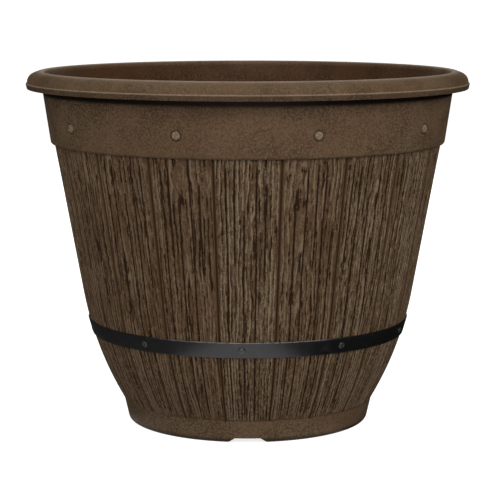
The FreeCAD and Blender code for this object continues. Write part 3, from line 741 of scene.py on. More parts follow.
class Planks:
    """The vertices, faces and attributes of some staves side by side."""

    def __init__(self):
        self.points = []
        self.faces = []
        self.staves = []
        self.across = []
        self.carve = []
        self.joint = []
        self.main = []
        self.size = 0

    def add(self, stave):
        """One stave: the front grid row by row, then the middle line of its back."""
        share = np.linspace(-1, 1, PLANK_COLUMNS + 1)
        heights = np.linspace(FOOT_HEIGHT, COLLAR_BASE, PLANK_ROWS + 1)
        turns = FRONT + STAVE_STEP * (stave + share / 2)
        to_joint = (1 - np.abs(share)) * STAVE_STEP / 2 * STAVE_TOP
        joint = np.clip(1 - to_joint / JOINT_HALF_WIDTH, 0, 1) ** JOINT_SHARPNESS
        edge_fade = np.clip((to_joint - JOINT_HALF_WIDTH / 2) / JOINT_FADE, 0, 1)
        foot_fade = np.clip((heights - FOOT_HEIGHT) / FOOT_FADE, 0, 1)
        radii = wall_radius(heights)[:, None] - SKIN * joint[None, :]
        front = np.stack((radii * np.cos(turns), radii * np.sin(turns),
                          np.repeat(heights[:, None], len(turns), axis=1)), axis=-1)
        middle = FRONT + STAVE_STEP * stave
        depth = wall_radius(heights) - SKIN
        back = np.column_stack((depth * math.cos(middle), depth * math.sin(middle), heights))
        rows = np.arange(PLANK_ROWS + 1)
        off_middle = share * STAVE_STEP / 2 * STAVE_TOP
        self.points += [front.reshape(-1, 3), back]
        self.staves.append(np.full(front.shape[0] * front.shape[1] + len(back), stave % STAVE_COUNT))
        self.across += [np.tile(off_middle / MM, len(rows)), np.zeros(len(back))]
        self.main += [main_grooves(stave, off_middle, heights).ravel(), np.zeros(len(back))]
        self.carve += [np.outer(foot_fade, edge_fade).ravel(), np.zeros(len(back))]
        self.joint += [np.tile(joint, len(rows)), np.zeros(len(back))]
        self.join_faces()

    def join_faces(self):
        """Quads over the front and the back, and one face across each end."""
        width = PLANK_COLUMNS + 1
        back = self.size + width * (PLANK_ROWS + 1)
        corner = self.size + np.arange(PLANK_ROWS)[:, None] * width + np.arange(PLANK_COLUMNS)[None, :]
        quads = np.stack((corner, corner + 1, corner + width + 1, corner + width), axis=-1)
        self.faces += quads.reshape(-1, 4).tolist()
        for row in range(PLANK_ROWS):
            left = self.size + row * width
            right = left + PLANK_COLUMNS
            spine = back + row
            self.faces.append((left, left + width, spine + 1, spine))
            self.faces.append((spine, spine + 1, right + width, right))
        bottom = list(range(self.size, self.size + width))
        top = list(range(back - width, back))
        self.faces.append(tuple(bottom[::-1] + [back]))
        self.faces.append(tuple(top + [back + PLANK_ROWS]))
        self.size = back + PLANK_ROWS + 1

    def build(self, name):
        """The planks as one piece with its attributes."""
        mesh = bpy.data.meshes.new(name)
        mesh.from_pydata(np.concatenate(self.points), [], self.faces)
        for label, kind, values in (("stave", "INT", self.staves), ("across", "FLOAT", self.across),
                                    ("carve", "FLOAT", self.carve), ("joint", "FLOAT", self.joint),
                                    ("main", "FLOAT", self.main)):
            mesh.attributes.new(label, kind, "POINT").data.foreach_set("value", np.concatenate(values))
        return new_piece(name, mesh)


print("a plank has", PLANK_COLUMNS, "by", PLANK_ROWS, "faces outside")

# %% Staves in five groups
# Which staves each piece holds, counted from the one in the middle of the front
STAVE_GROUPS = {
    "front_staves": range(-2, 3),
    "front_right_staves": range(3, 7),
    "back_right_staves": range(7, 10),
    "back_left_staves": range(10, 13),
    "front_left_staves": range(13, 17),
}


def plank_group(name, staves):
    planks = Planks()
    for stave in staves:
        planks.add(stave)
    return planks.build(name)


stave_pieces = [plank_group(name, staves) for name, staves in STAVE_GROUPS.items()]
for piece in stave_pieces:
    print(measure(piece))

# %% [markdown]
# Weathered wood shows its year rings. A board sawn off the middle of a log cuts the rings at a slant, so
# its lines run straight up the edges and close into narrow arches in the middle. The tree below works
# that out from a distance to a slanted core, lets noise bend the lines, and turns them into ridges and
# grooves. Geometry Nodes suit this, because every stave follows one rule with its own random values.

# %% Helpers for Geometry Nodes
class Tree(Graph):
    """A Geometry Nodes tree with named inputs, ending in plain geometry with a material."""

    def __init__(self, name, inputs):
        super().__init__(bpy.data.node_groups.new(name, "GeometryNodeTree"))
        sockets = {"Geometry": "NodeSocketGeometry", **inputs, "Material": "NodeSocketMaterial"}
        for label, kind in sockets.items():
            self.tree.interface.new_socket(label, in_out="INPUT", socket_type=kind)
        self.tree.interface.new_socket("Geometry", in_out="OUTPUT", socket_type="NodeSocketGeometry")
        self.group = self.tree.nodes.new("NodeGroupInput")

    def input(self, label):
        return Socket(self, self.group.outputs[label])

    def attribute(self, label, kind="FLOAT"):
        return self.add("GeometryNodeInputNamedAttribute", {"data_type": kind}, (label,))

    def store(self, geometry, label, value):
        return self.add("GeometryNodeStoreNamedAttribute", {"data_type": "FLOAT", "domain": "POINT"},
                        {"Geometry": geometry, "Name": label, "Value": value})

    def close(self, geometry):
        plain = self.add("GeometryNodeRealizeInstances", None, (geometry,))
        dressed = self.add("GeometryNodeSetMaterial", None,
                           {"Geometry": plain, "Material": self.input("Material")})
        self.add("NodeGroupOutput", None, (dressed,))


def run_tree(piece, tree, values):
    """Gives a piece the tree with these input values, and makes the result its plain mesh."""
    modifier = piece.modifiers.new(tree.tree.name, "NODES")
    modifier.node_group = tree.tree
    for item in tree.tree.interface.items_tree:
        if item.in_out == "INPUT" and item.name in values:
            modifier[item.identifier] = values[item.name]
    settle(piece)


FLOAT = "NodeSocketFloat"
INTEGER = "NodeSocketInt"
print(Tree.__doc__)

# %% Sizes of the grain
# Lengths here are millimetres, because grain is judged in millimetres
STAVE_SEED_STEP = 37.7
SIDE_SEED_STEP = 5.3
# Limits of what chance gives each stave: where its core lies, how high its arches close and how steeply
CORE_REACH = 11.0
ARCH_LOWEST = 40.0
ARCH_HIGHEST = 200.0
SLOPE_LEAST = 0.4
SLOPE_MOST = 1.6
CORE_ROUND = 1.0
# Width and length of the cells of each noise
BEND_CELL = (17, 70)
WAVER_CELL = (4, 11)
BEAD_CELL = (1.7, 5.0)
FIBRE_CELL = (1.2, 20.0)
UNEVEN_PER_RIDGE = 1.6
UNEVEN_LENGTH = 70
# How much each of them adds to a ridge
WAVE_SHARE = 0.45
UNEVEN_SHARE = 0.5
BEAD_SHARE = 0.8
FIBRE_SHARE = 1.1
RIDGE_LEVEL = 0.28
# How far ahead of a groove the painted highlight on its edge runs, as an angle of the wave
HIGHLIGHT_LEAD = 1.76
# How much brighter that painted highlight is below the hoop, where the wall faces a little down
BELLY_HIGHLIGHT_GAIN = 1.7
RIDGE_SHOWS = 0.55
# How strongly the painted highlight shows
HIGHLIGHT_SHOWS = 0.85
# Where the Random Value node keeps its two limits and its number
RANDOM_LOW = 2
RANDOM_HIGH = 3
RANDOM_NUMBER = 1
print("arches close between", ARCH_LOWEST, "and", ARCH_HIGHEST, "mm up")

# %% Grain of the staves
def grain_tree():
    tree = Tree("weathered_grain", {
        "Ridge Spacing": FLOAT, "Line Depth": FLOAT, "Groove Depth": FLOAT, "Bend": FLOAT, "Waver": FLOAT,
        "Arch Slope": FLOAT, "Seed": INTEGER,
    })
    stave = tree.attribute("stave", "INT")
    across = tree.attribute("across")
    place = tree.add("GeometryNodeInputPosition")
    height = tree.part(place, Z) / MM
    seed = tree.input("Seed")
    layer = stave * STAVE_SEED_STEP + seed

    def choose(low, high, salt):
        """A random value for each stave."""
        sockets = {RANDOM_LOW: low, RANDOM_HIGH: high, "ID": stave, "Seed": seed + salt}
        return tree.add("FunctionNodeRandomValue", None, sockets, output=RANDOM_NUMBER)

    def grain_noise(cell, salt, detail=1.0):
        """Noise with cells of this width and length on the stave, from 0 to 1."""
        width, length = cell
        return tree.noise(tree.vector(across / width, height / length, layer + salt), detail=detail)

    middle = choose(-CORE_REACH, CORE_REACH, salt=1)
    apex = choose(ARCH_LOWEST, ARCH_HIGHEST, salt=2)
    slope = tree.input("Arch Slope")
    rise = (height - apex).math("MAXIMUM", 0.0) * slope * choose(SLOPE_LEAST, SLOPE_MOST, salt=3)
    off_middle = across - middle
    ring = (off_middle * off_middle + rise * rise + CORE_ROUND).math("SQRT")
    line = (ring + (grain_noise(BEND_CELL, salt=11) - NOISE_MIDDLE) * tree.input("Bend")
            + (grain_noise(WAVER_CELL, salt=23) - NOISE_MIDDLE) * tree.input("Waver"))
    phase = line / tree.input("Ridge Spacing")
    wave = (phase * FULL_TURN).math("SINE") * 0.5 + 0.5
    side_layer = layer + off_middle.math("SIGN") * SIDE_SEED_STEP
    along_ridge = tree.vector(phase * UNEVEN_PER_RIDGE, height / UNEVEN_LENGTH, side_layer)
    uneven = tree.noise(along_ridge, detail=1.0)
    beads = grain_noise(BEAD_CELL, salt=41, detail=2.0)
    fibres = grain_noise(FIBRE_CELL, salt=61)
    crest = (wave * WAVE_SHARE + (uneven - NOISE_MIDDLE) * UNEVEN_SHARE
             + (beads - NOISE_MIDDLE) * BEAD_SHARE + (fibres - NOISE_MIDDLE) * FIBRE_SHARE + RIDGE_LEVEL)
    # A painted highlight along one edge of each groove, brighter below the hoop
    edge = tree.ramp((phase * FULL_TURN + HIGHLIGHT_LEAD).math("SINE"), start=0.5, end=1.0)
    edge = edge * tree.ramp(uneven, start=0.35, end=0.6)
    edge = edge * tree.ramp(height, BELLY_TOP / MM, HOOP_CENTRE / MM, 1, BELLY_HIGHLIGHT_GAIN)
    carve = tree.attribute("carve")
    main = tree.attribute("main")
    lines = tree.ramp(crest, start=0.44, end=0.16) * carve
    depth = (lines * tree.input("Line Depth")).math("MAXIMUM", main * tree.input("Groove Depth"))

    flat = tree.vector(tree.part(place, X), tree.part(place, Y), 0.0)
    outward = tree.add("ShaderNodeVectorMath", {"operation": "NORMALIZE"}, (flat,))
    inset = depth * -MM
    offset = tree.add("ShaderNodeVectorMath", {"operation": "SCALE"}, {"Vector": outward, "Scale": inset})
    planks = tree.input("Geometry")
    moved = tree.add("GeometryNodeSetPosition", None, {"Geometry": planks, "Offset": offset})
    moved = tree.store(moved, "groove", lines.math("MAXIMUM", main))
    # The stored crest holds the ridges' tan and the painted highlight beside each groove
    moved = tree.store(moved, "crest", (crest * RIDGE_SHOWS + edge * HIGHLIGHT_SHOWS) * carve)
    moved = tree.store(moved, "tone", choose(0.0, 1.0, salt=4))
    tree.close(moved)
    return tree


grain = grain_tree()
print("the grain's tree has", len(grain.tree.nodes), "nodes")

# %% [markdown]
# The grain's colour follows its relief. Ridge tops are dry and tan, grooves keep a dark brown, and the
# joints between staves are darkest. A painted highlight in the same tan runs along one edge of each groove.
# The relief was stored as attributes, so the shader reads them and needs no picture.

# %% Resin of the staves
# Tan of the ridge tops, also used for the painted highlight beside the grooves
RIDGE_TAN_AND_HIGHLIGHT = colour(0.165, 0.122, 0.079)
GRAIN_BROWN = colour(0.064, 0.037, 0.019)
GROOVE_DARK = colour(0.018, 0.0085, 0.004)
BOARD_WARM = colour(0.072, 0.038, 0.019)
FINE_GRAIN_STRETCH = 0.16
FINE_GRAIN_SCALE = 700
FINE_GRAIN_WEIGHT = 1.5
GRIT_SCALE = 620
GRIT_WEIGHT = 1.1
GRIT_RELIEF = 0.6
GRIT_DEPTH = 0.4 * MM
BOARD_CLOUD_SCALE = 22
BOARD_CLOUD_WEIGHT = 0.4
RIDGE_SPECKLE = 1.35
GROOVE_SPECKLE = 0.8
WARM_BOARD = 0.35
JOINT_DIRT = 0.6
STAVE_ROUGHNESS = 0.72
RIDGE_GLOSS = 0.12
STAVE_SPECULAR = 0.06


def stave_finish():
    material, graph = new_finish("weathered_stave_resin")
    place = graph.object_point()

    def stored(name):
        return graph.add("ShaderNodeAttribute", {"attribute_name": name}, output="Fac")

    drawn_out = graph.add("ShaderNodeVectorMath", {"operation": "MULTIPLY"},
                          (place, (1.0, 1.0, FINE_GRAIN_STRETCH)))
    fibres = graph.noise(drawn_out, FINE_GRAIN_SCALE, detail=3, roughness=0.6)
    grit = graph.noise(place, GRIT_SCALE, detail=2, roughness=0.6)
    clouds = graph.noise(place, BOARD_CLOUD_SCALE, detail=3)
    speckle = (grit - NOISE_MIDDLE) * GRIT_WEIGHT + (fibres - NOISE_MIDDLE) * FINE_GRAIN_WEIGHT
    # The tan shows on dry ridge tops and as the painted highlight along each groove's edge
    dryness_and_highlight = stored("crest") + speckle * RIDGE_SPECKLE + (clouds - NOISE_MIDDLE) * BOARD_CLOUD_WEIGHT
    tan = graph.ramp(dryness_and_highlight, start=0.14, end=1.08)
    dark = graph.ramp(stored("groove") - speckle * GROOVE_SPECKLE, start=0.2, end=0.95)
    joint = graph.ramp(stored("joint"), start=0.05, end=0.7, high=JOINT_DIRT)
    base = graph.blend(tan, GRAIN_BROWN, RIDGE_TAN_AND_HIGHLIGHT)
    base = graph.blend(graph.ramp(stored("tone"), 0, 1, high=WARM_BOARD), base, BOARD_WARM)
    base = graph.blend(dark, base, GROOVE_DARK)
    base = graph.blend(joint, base, GROOVE_DARK)
    close_finish(graph, {
        "Base Color": base,
        "Roughness": STAVE_ROUGHNESS - tan * RIDGE_GLOSS,
        "Specular IOR Level": STAVE_SPECULAR,
        "Normal": bump(graph, grit * GRIT_RELIEF + fibres * GRIT_RELIEF, GRIT_DEPTH),
    })
    return material


stave_resin = stave_finish()
print("made", stave_resin.name)

# %% [markdown]
# The grain's tree now runs on each group of planks. Its inputs have names, so that another ridge spacing
# or depth is one changed number. The result is made a plain mesh, which other programs can read as well.

# %% Carve the staves
for piece in stave_pieces:
    run_tree(piece, grain, {
        "Ridge Spacing": 3.7, "Line Depth": 0.6, "Groove Depth": 0.9, "Bend": 9.0, "Waver": 2.6,
        "Arch Slope": 0.045, "Seed": 11, "Material": stave_resin,
    })
    smooth(piece, sharp_above=75)
    print(measure(piece))

# %% [markdown]
# A hoop of black painted steel strip goes once round the belly and over its own end at the back, where
# two more rivets hold the lap. It leans with the wall at its own height, so its lean and its radius are
# worked out from the wall's arc.

# %% Sizes of the hoop
HOOP_WIDTH = 14 * MM
HOOP_THICKNESS = 1 * MM
HOOP_GAP = 0.1 * MM
HOOP_LAP_GAP = 0.05 * MM
HOOP_EDGE_ROUND = 0.35 * MM
HOOP_START = math.radians(63)
HOOP_LAP = math.radians(14)
HOOP_JOGGLE = math.radians(3)
HOOP_POINTS = 560
HOOP_LEAN = math.asin((BELLY_CENTRE_HEIGHT - HOOP_CENTRE) / BELLY_BEND)
HOOP_SEAT = float(wall_radius(HOOP_CENTRE))
HOOP_TOP = HOOP_CENTRE + HOOP_WIDTH / 2 * math.cos(HOOP_LEAN)
# Where the painted glint on the hoop's upper edge shows: its band and how far round the front
HOOP_GLINT_BAND = 1.2 * MM
HOOP_GLINT_SIDE = -112 * MM
HOOP_GLINT_FRONT = -140 * MM
print(f"hoop: {HOOP_SEAT / MM:.1f} mm radius, its top at {HOOP_TOP / MM:.1f} mm")

# %% [markdown]
# The hoop and its rivets have one black satin paint. Handling has rubbed it to grey in patches, and along
# the hoop's upper edge at the front a thin painted glint is added to the colour. Dust and the paint's own
# fine ripple are two scales of noise.

# %% Black satin paint
PAINT_BLACK = colour(0.005, 0.005, 0.0049)
PAINT_RUBBED = colour(0.024, 0.024, 0.023)
RIVET_GREY = colour(0.022, 0.022, 0.021)
# Colour of the painted glint on the hoop's upper edge
GLINT_GREY = colour(0.19, 0.18, 0.165)
DUST_SCALE = 160
RIPPLE_SCALE = 900
RIPPLE_DEPTH = 0.05 * MM
HOOP_RUBBED = 0.5
RIVET_RUBBED = 1.0
PAINT_ROUGHNESS = 0.3
DUST_ROUGHNESS = 0.16
PAINT_SPECULAR = 0.5


def paint_finish(name, black, rubbed):
    """Satin paint, with patches rubbed to grey, and a painted glint along the hoop's upper edge in front.
    """
    material, graph = new_finish(name)
    place = graph.object_point()
    dust = graph.noise(place, DUST_SCALE, detail=4, roughness=0.65)
    ripple = graph.noise(place, RIPPLE_SCALE)
    scuff = graph.ramp(dust, start=0.5, end=0.78, high=rubbed)
    # A painted glint along the hoop's upper edge, only at the front
    painted_glint = graph.ramp(graph.part(place, Z), HOOP_TOP - HOOP_GLINT_BAND, HOOP_TOP)
    painted_glint = painted_glint * graph.ramp(graph.part(place, Y), HOOP_GLINT_SIDE, HOOP_GLINT_FRONT)
    painted_glint = painted_glint * graph.ramp(dust + ripple, start=0.7, end=1.15)
    base = graph.blend(scuff, black, PAINT_RUBBED)
    close_finish(graph, {
        "Base Color": graph.blend(painted_glint, base, GLINT_GREY),
        "Roughness": PAINT_ROUGHNESS + dust * DUST_ROUGHNESS,
        "Specular IOR Level": PAINT_SPECULAR,
        "Normal": bump(graph, ripple, RIPPLE_DEPTH),
    })
    return material


hoop_paint = paint_finish("black_hoop_paint", PAINT_BLACK, HOOP_RUBBED)
rivet_paint = paint_finish("rubbed_rivet_paint", RIVET_GREY, RIVET_RUBBED)
print("made", hoop_paint.name, "and", rivet_paint.name)

# %% [markdown]
# A strip follows a path. So the tree bends a line into a circle with a small climb at the lap, and sweeps
# a rectangle with rounded edges along it.

# %% The hoop
HOOP_EDGE_STEPS = 4


def hoop_tree():
    tree = Tree("hoop_strip", {
        "Seat Radius": FLOAT, "Centre Height": FLOAT, "Lean": FLOAT, "Width": FLOAT, "Thickness": FLOAT,
        "Gap": FLOAT, "Climb": FLOAT, "Edge Round": FLOAT, "Start": FLOAT, "Sweep": FLOAT,
        "Climb Start": FLOAT, "Climb End": FLOAT, "Points": INTEGER,
    })
    line = tree.add("GeometryNodeCurvePrimitiveLine")
    line = tree.add("GeometryNodeResampleCurve", None, {"Curve": line, "Count": tree.input("Points")})
    along = tree.add("GeometryNodeSplineParameter")
    turn = tree.input("Start") + along * tree.input("Sweep")
    climb = tree.ramp(turn, tree.input("Climb Start"), tree.input("Climb End")) * tree.input("Climb")
    off_wall = tree.input("Gap") + tree.input("Thickness") / 2 + climb
    lean = tree.input("Lean")
    radius = tree.input("Seat Radius") + off_wall * lean.math("COSINE")
    height = tree.input("Centre Height") - off_wall * lean.math("SINE")
    place = tree.vector(radius * turn.math("COSINE"), radius * turn.math("SINE"), height)
    path = tree.add("GeometryNodeSetPosition", None, {"Geometry": line, "Position": place})
    path = tree.add("GeometryNodeSetCurveNormal", {"mode": "Z_UP"}, (path,))
    section = tree.add("GeometryNodeCurvePrimitiveQuadrilateral", None,
                       {"Width": tree.input("Thickness"), "Height": tree.input("Width")})
    section = tree.add("GeometryNodeFilletCurve", {"mode": "POLY"},
                       {"Curve": section, "Count": HOOP_EDGE_STEPS, "Radius": tree.input("Edge Round")})
    turned = tree.add("FunctionNodeEulerToRotation", None, (tree.vector(0.0, 0.0, lean),))
    section = tree.add("GeometryNodeTransform", None, {"Geometry": section, "Rotation": turned})
    strip = tree.add("GeometryNodeCurveToMesh", None,
                     {"Curve": path, "Profile Curve": section, "Fill Caps": True})
    tree.close(strip)
    return tree


hoop = new_piece("hoop", bpy.data.meshes.new("hoop"))
run_tree(hoop, hoop_tree(), {
    "Seat Radius": HOOP_SEAT, "Centre Height": HOOP_CENTRE, "Lean": HOOP_LEAN, "Width": HOOP_WIDTH,
    "Thickness": HOOP_THICKNESS, "Gap": HOOP_GAP, "Climb": HOOP_THICKNESS + HOOP_LAP_GAP,
    "Edge Round": HOOP_EDGE_ROUND, "Start": HOOP_START, "Sweep": FULL_TURN + HOOP_LAP,
    "Climb Start": HOOP_START + FULL_TURN - HOOP_JOGGLE, "Climb End": HOOP_START + FULL_TURN,
    "Points": HOOP_POINTS, "Material": hoop_paint,
})
smooth(hoop, sharp_above=40)
print(measure(hoop))

# %% [markdown]
# Rivets hold the hoop, and studs of the pot's own resin decorate the collar. Each kind is one small
# lathed mesh with a dimple pressed into its dome. A rivet goes through the wall and is clenched inside,
# while a stud has only a short stem.

# %% Heads and stems
FASTENER_SIDES = 28
HEAD_FULLNESS = 0.85
DIMPLE_ROUND = 0.6
DIMPLE_FLOOR = 0.45


def head_corners(radius, height, dimple_radius, dimple_depth):
    """A domed head that stands on z = 0, from its foot to the middle of its dimple."""
    return [
        (radius, 0, 0),
        (radius, height, height * HEAD_FULLNESS),
        (dimple_radius, height, dimple_depth * DIMPLE_ROUND),
        (dimple_radius * DIMPLE_FLOOR, height - dimple_depth, 0),
        (0, height - dimple_depth, 0),
    ]


def fastener(name, head, stem_radius, length, tail=None):
    """A head, a stem that goes so deep below it and, where it has one, a clenched tail."""
    corners = [(0, -length, 0)]
    if tail:
        tail_radius, tail_height = tail
        tail_top = tail_height - length
        corners += [
            (tail_radius, -length, tail_height * HEAD_FULLNESS),
            (tail_radius, tail_top, 0),
            (stem_radius, tail_top, 0),
        ]
    else:
        corners.append((stem_radius, -length, 0))
    corners += [(stem_radius, 0, 0), *head_corners(*head)]
    return new_piece(name, lathe(name, round_corners(corners), FASTENER_SIDES))


print(fastener.__doc__)

# %% The first rivet, lap rivet and stud
# Radius and height of a head, then radius and depth of its dimple
RIVET_HEAD = (2.9 * MM, 1.3 * MM, 1.1 * MM, 0.5 * MM)
STUD_HEAD = (3.6 * MM, 1.7 * MM, 1.3 * MM, 0.5 * MM)
STEM_RADIUS = 1.9 * MM
STEM_GAP = 0.1 * MM
STUD_STEM_LENGTH = 1.5 * MM
RIVET_TAIL_RADIUS = 3.0 * MM
RIVET_TAIL_HEIGHT = 1.0 * MM
RIVET_TAIL = (RIVET_TAIL_RADIUS, RIVET_TAIL_HEIGHT)
HOOP_FACE = HOOP_GAP + HOOP_THICKNESS
LAP_FACE = HOOP_FACE + HOOP_LAP_GAP + HOOP_THICKNESS
through_wall = WALL * math.cos(HOOP_LEAN) + STEM_GAP + RIVET_TAIL_HEIGHT
rivets = fastener("hoop_rivets_shown", RIVET_HEAD, STEM_RADIUS, through_wall + HOOP_FACE, RIVET_TAIL)
lap_rivets = fastener("lap_rivets_shown", RIVET_HEAD, STEM_RADIUS, through_wall + LAP_FACE, RIVET_TAIL)
studs = fastener("collar_studs_shown", STUD_HEAD, STEM_RADIUS, STUD_STEM_LENGTH)
for piece in (rivets, lap_rivets, studs):
    print(measure(piece))

# %% [markdown]
# A tree sets copies of a fastener round the pot, each turned square to the wall, and makes them real at
# the end. One tree serves all three rings, because only the numbers differ.

# %% A ring of fasteners
def ring_tree():
    tree = Tree("ring_of_fasteners", {
        "Count": INTEGER, "First Turn": FLOAT, "Step": FLOAT,
        "Radius": FLOAT, "Height": FLOAT, "Lean": FLOAT,
    })
    number = tree.add("GeometryNodeInputIndex")
    turn = tree.input("First Turn") + number * tree.input("Step")
    radius = tree.input("Radius")
    place = tree.vector(radius * turn.math("COSINE"), radius * turn.math("SINE"), tree.input("Height"))
    points = tree.add("GeometryNodePoints", None, {"Count": tree.input("Count"), "Position": place})
    tilt = tree.input("Lean") + math.pi / 2
    facing = tree.add("FunctionNodeEulerToRotation", None, (tree.vector(0.0, tilt, turn),))
    copies = tree.add("GeometryNodeInstanceOnPoints", None,
                      {"Points": points, "Instance": tree.input("Geometry"), "Rotation": facing})
    tree.close(copies)
    return tree


ring = ring_tree()
print("the ring's tree has", len(ring.tree.nodes), "nodes")

# %% Rings of rivets and studs
RIVET_COUNT = 10
RIVET_STEP = FULL_TURN / RIVET_COUNT
RIVET_FIRST = math.radians(-92)
LAP_RIVET_COUNT = 2
LAP_RIVET_MARGIN = math.radians(4)
LAP_RIVET_FIRST = HOOP_START + LAP_RIVET_MARGIN
LAP_RIVET_STEP = HOOP_LAP - 2 * LAP_RIVET_MARGIN


def off_hoop(out):
    """Radius and height of a point so far out from the wall at the hoop's middle."""
    return HOOP_SEAT + out * math.cos(HOOP_LEAN), HOOP_CENTRE - out * math.sin(HOOP_LEAN)


def off_collar(out):
    """Radius and height of a point so far out from the collar at the studs' height."""
    radius = collar_radius(STUD_HEIGHT) + out * math.cos(COLLAR_LEAN)
    return radius, STUD_HEIGHT - out * math.sin(COLLAR_LEAN)


def set_ring(piece, count, first, step, seat, lean, material):
    radius, height = seat
    run_tree(piece, ring, {"Count": count, "First Turn": first, "Step": step, "Radius": radius,
                           "Height": height, "Lean": lean, "Material": material})
    smooth(piece, sharp_above=50)
    print(measure(piece))


set_ring(rivets, RIVET_COUNT, RIVET_FIRST, RIVET_STEP, off_hoop(HOOP_FACE), HOOP_LEAN, rivet_paint)
set_ring(lap_rivets, LAP_RIVET_COUNT, LAP_RIVET_FIRST, LAP_RIVET_STEP, off_hoop(LAP_FACE), HOOP_LEAN,
         rivet_paint)
set_ring(studs, STUD_COUNT, STUD_FIRST, STUD_STEP, off_collar(-STUD_RECESS_DEPTH), COLLAR_LEAN, stud_resin)

# %% [markdown]
# The drain plugs are plain turned rubber with a grip, and the packed solids already have that shape. They
# only need rubber: near black, matt, with a bloom of grey dust that gathers in patches.

# %% Rubber of the drain plugs
RUBBER_BLACK = colour(0.012, 0.012, 0.012)
RUBBER_BLOOM = colour(0.045, 0.043, 0.040)
BLOOM_SCALE = 220
BLOOM_ROUGHNESS = 0.2
PORE_SCALE = 1600
PORE_DEPTH = 0.06 * MM
RUBBER_ROUGHNESS = 0.7
RUBBER_SPECULAR = 0.4
PLUG_SIDES = ("front", "right", "back", "left")


def rubber_finish():
    material, graph = new_finish("matt_rubber")
    place = graph.object_point()
    bloom = graph.ramp(graph.noise(place, BLOOM_SCALE, detail=4, roughness=0.6), start=0.45, end=0.75)
    pores = graph.noise(place, PORE_SCALE)
    close_finish(graph, {
        "Base Color": graph.blend(bloom, RUBBER_BLACK, RUBBER_BLOOM),
        "Roughness": RUBBER_ROUGHNESS + bloom * BLOOM_ROUGHNESS,
        "Specular IOR Level": RUBBER_SPECULAR,
        "Normal": bump(graph, pores, PORE_DEPTH),
    })
    return material


rubber = rubber_finish()
for side in PLUG_SIDES:
    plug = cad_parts[f"drain_plug_{side}"]
    plug.data.materials.clear()
    plug.data.materials.append(rubber)
print("rubber on", len(PLUG_SIDES), "plugs")

# %% [markdown]
# The stage is a pale floor under an even white surround. Light Path lets the camera, and mirror-like
# reflections, see plain white, while the soft light that falls on the pot stays at its own level. The
# floor is lifted to white in the same way, and keeps the pot's shadow.

# %% Floor
FLOOR_SIZE = 60
FLOOR_COLOUR = colour(0.6, 0.6, 0.6)
FLOOR_ROUGHNESS = 0.8
FLOOR_SPECULAR = 0.1
FLOOR_LIFT_TO_WHITE = 0.8
PAPER_SCALE = 40
PAPER_ROUGHNESS = 0.1


def seen_directly(graph):
    """1 for what the camera, a reflection or a see-through surface looks at, and 0 for soft light."""
    rays = [graph.add("ShaderNodeLightPath", output=name)
            for name in ("Is Camera Ray", "Is Glossy Ray", "Is Transmission Ray")]
    return rays[0].math("MAXIMUM", rays[1]).math("MAXIMUM", rays[2])


def floor_finish():
    material, graph = new_finish("pale_floor")
    paper = graph.noise(graph.object_point(), PAPER_SCALE, detail=3)
    paint = graph.add("ShaderNodeBsdfPrincipled", None, {
        "Base Color": FLOOR_COLOUR,
        "Roughness": FLOOR_ROUGHNESS + paper * PAPER_ROUGHNESS,
        "Specular IOR Level": FLOOR_SPECULAR,
    })
    white = graph.add("ShaderNodeEmission", None, {"Strength": seen_directly(graph) * FLOOR_LIFT_TO_WHITE})
    both = graph.add("ShaderNodeAddShader", None, (paint, white))
    graph.add("ShaderNodeOutputMaterial", None, {"Surface": both})
    return material


def flat_square(name, size):
    half = size / 2
    corners = [(-half, -half, 0), (half, -half, 0), (half, half, 0), (-half, half, 0)]
    mesh = bpy.data.meshes.new(name)
    mesh.from_pydata(corners, [], [(0, 1, 2, 3)])
    return new_piece(name, mesh)


floor = flat_square("floor", FLOOR_SIZE)
floor.data.materials.append(floor_finish())
floor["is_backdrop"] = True
print("floor", FLOOR_SIZE, "m across")

# %% Surround
SURROUND_LIGHT = 0.36
SURROUND_WHITE = colour(1, 1, 1)

world = bpy.data.worlds.new("surround")
world.use_nodes = True
world.node_tree.nodes.clear()
bpy.context.scene.world = world
surround = Graph(world.node_tree)
direct = seen_directly(surround)
level = direct + (1 - direct) * SURROUND_LIGHT
background = surround.add("ShaderNodeBackground", None, {"Color": SURROUND_WHITE, "Strength": level})
surround.add("ShaderNodeOutputWorld", None, {"Surface": background})
print("surround at", SURROUND_LIGHT)

# %% [markdown]
# Three soft lights stand in front of the pot, as in a studio: a large one behind the camera for the
# sheen on the hoop, and a smaller one on each side, the right one stronger than the left. The side lights
# give no sheen, and they keep the collar from falling dark towards its ends. The rim throws its shadow on
# the collar's top. A fourth light at the back is there for whoever walks round the pot.

# %% Light
POT_MIDDLE = Vector((0, 0, POT_HEIGHT / 2))


def add_softbox(name, place, size, power, gives_sheen=False):
    """A square light that faces the pot, with its place and size in metres and its power in watts."""
    light = bpy.data.lights.new(name, "AREA")
    light.shape = "SQUARE"
    light.size = size
    light.energy = power
    lamp = bpy.data.objects.new(name, light)
    lamp.location = place
    lamp.rotation_euler = (POT_MIDDLE - Vector(place)).to_track_quat("-Z", "Y").to_euler()
    lamp.visible_glossy = gives_sheen
    bpy.context.scene.collection.objects.link(lamp)
    return lamp


lamps = [
    add_softbox("front_softbox", place=(0.1, -1.95, 1.6), size=1.2, power=22, gives_sheen=True),
    add_softbox("left_softbox", place=(-1.6, -1.2, 1.2), size=1.0, power=16),
    add_softbox("right_softbox", place=(1.6, -1.2, 1.2), size=1.0, power=23),
    add_softbox("back_softbox", place=(0.0, 2.2, 1.2), size=1.0, power=26),
]
for lamp in lamps:
    print(lamp.name, lamp.data.energy, "W at", tuple(round(value, 2) for value in lamp.location))

# %% [markdown]
# A photographer stands dark cards, called flags, beside a shiny thing, so that its sides reflect
# something dark and its middle keeps the sheen. The same is done here for the black hoop, with a grey card
# on the left and a black one on the right. Each card has a foot that lies on the floor, because the hoop
# faces a little down. Only reflections see these two cards.

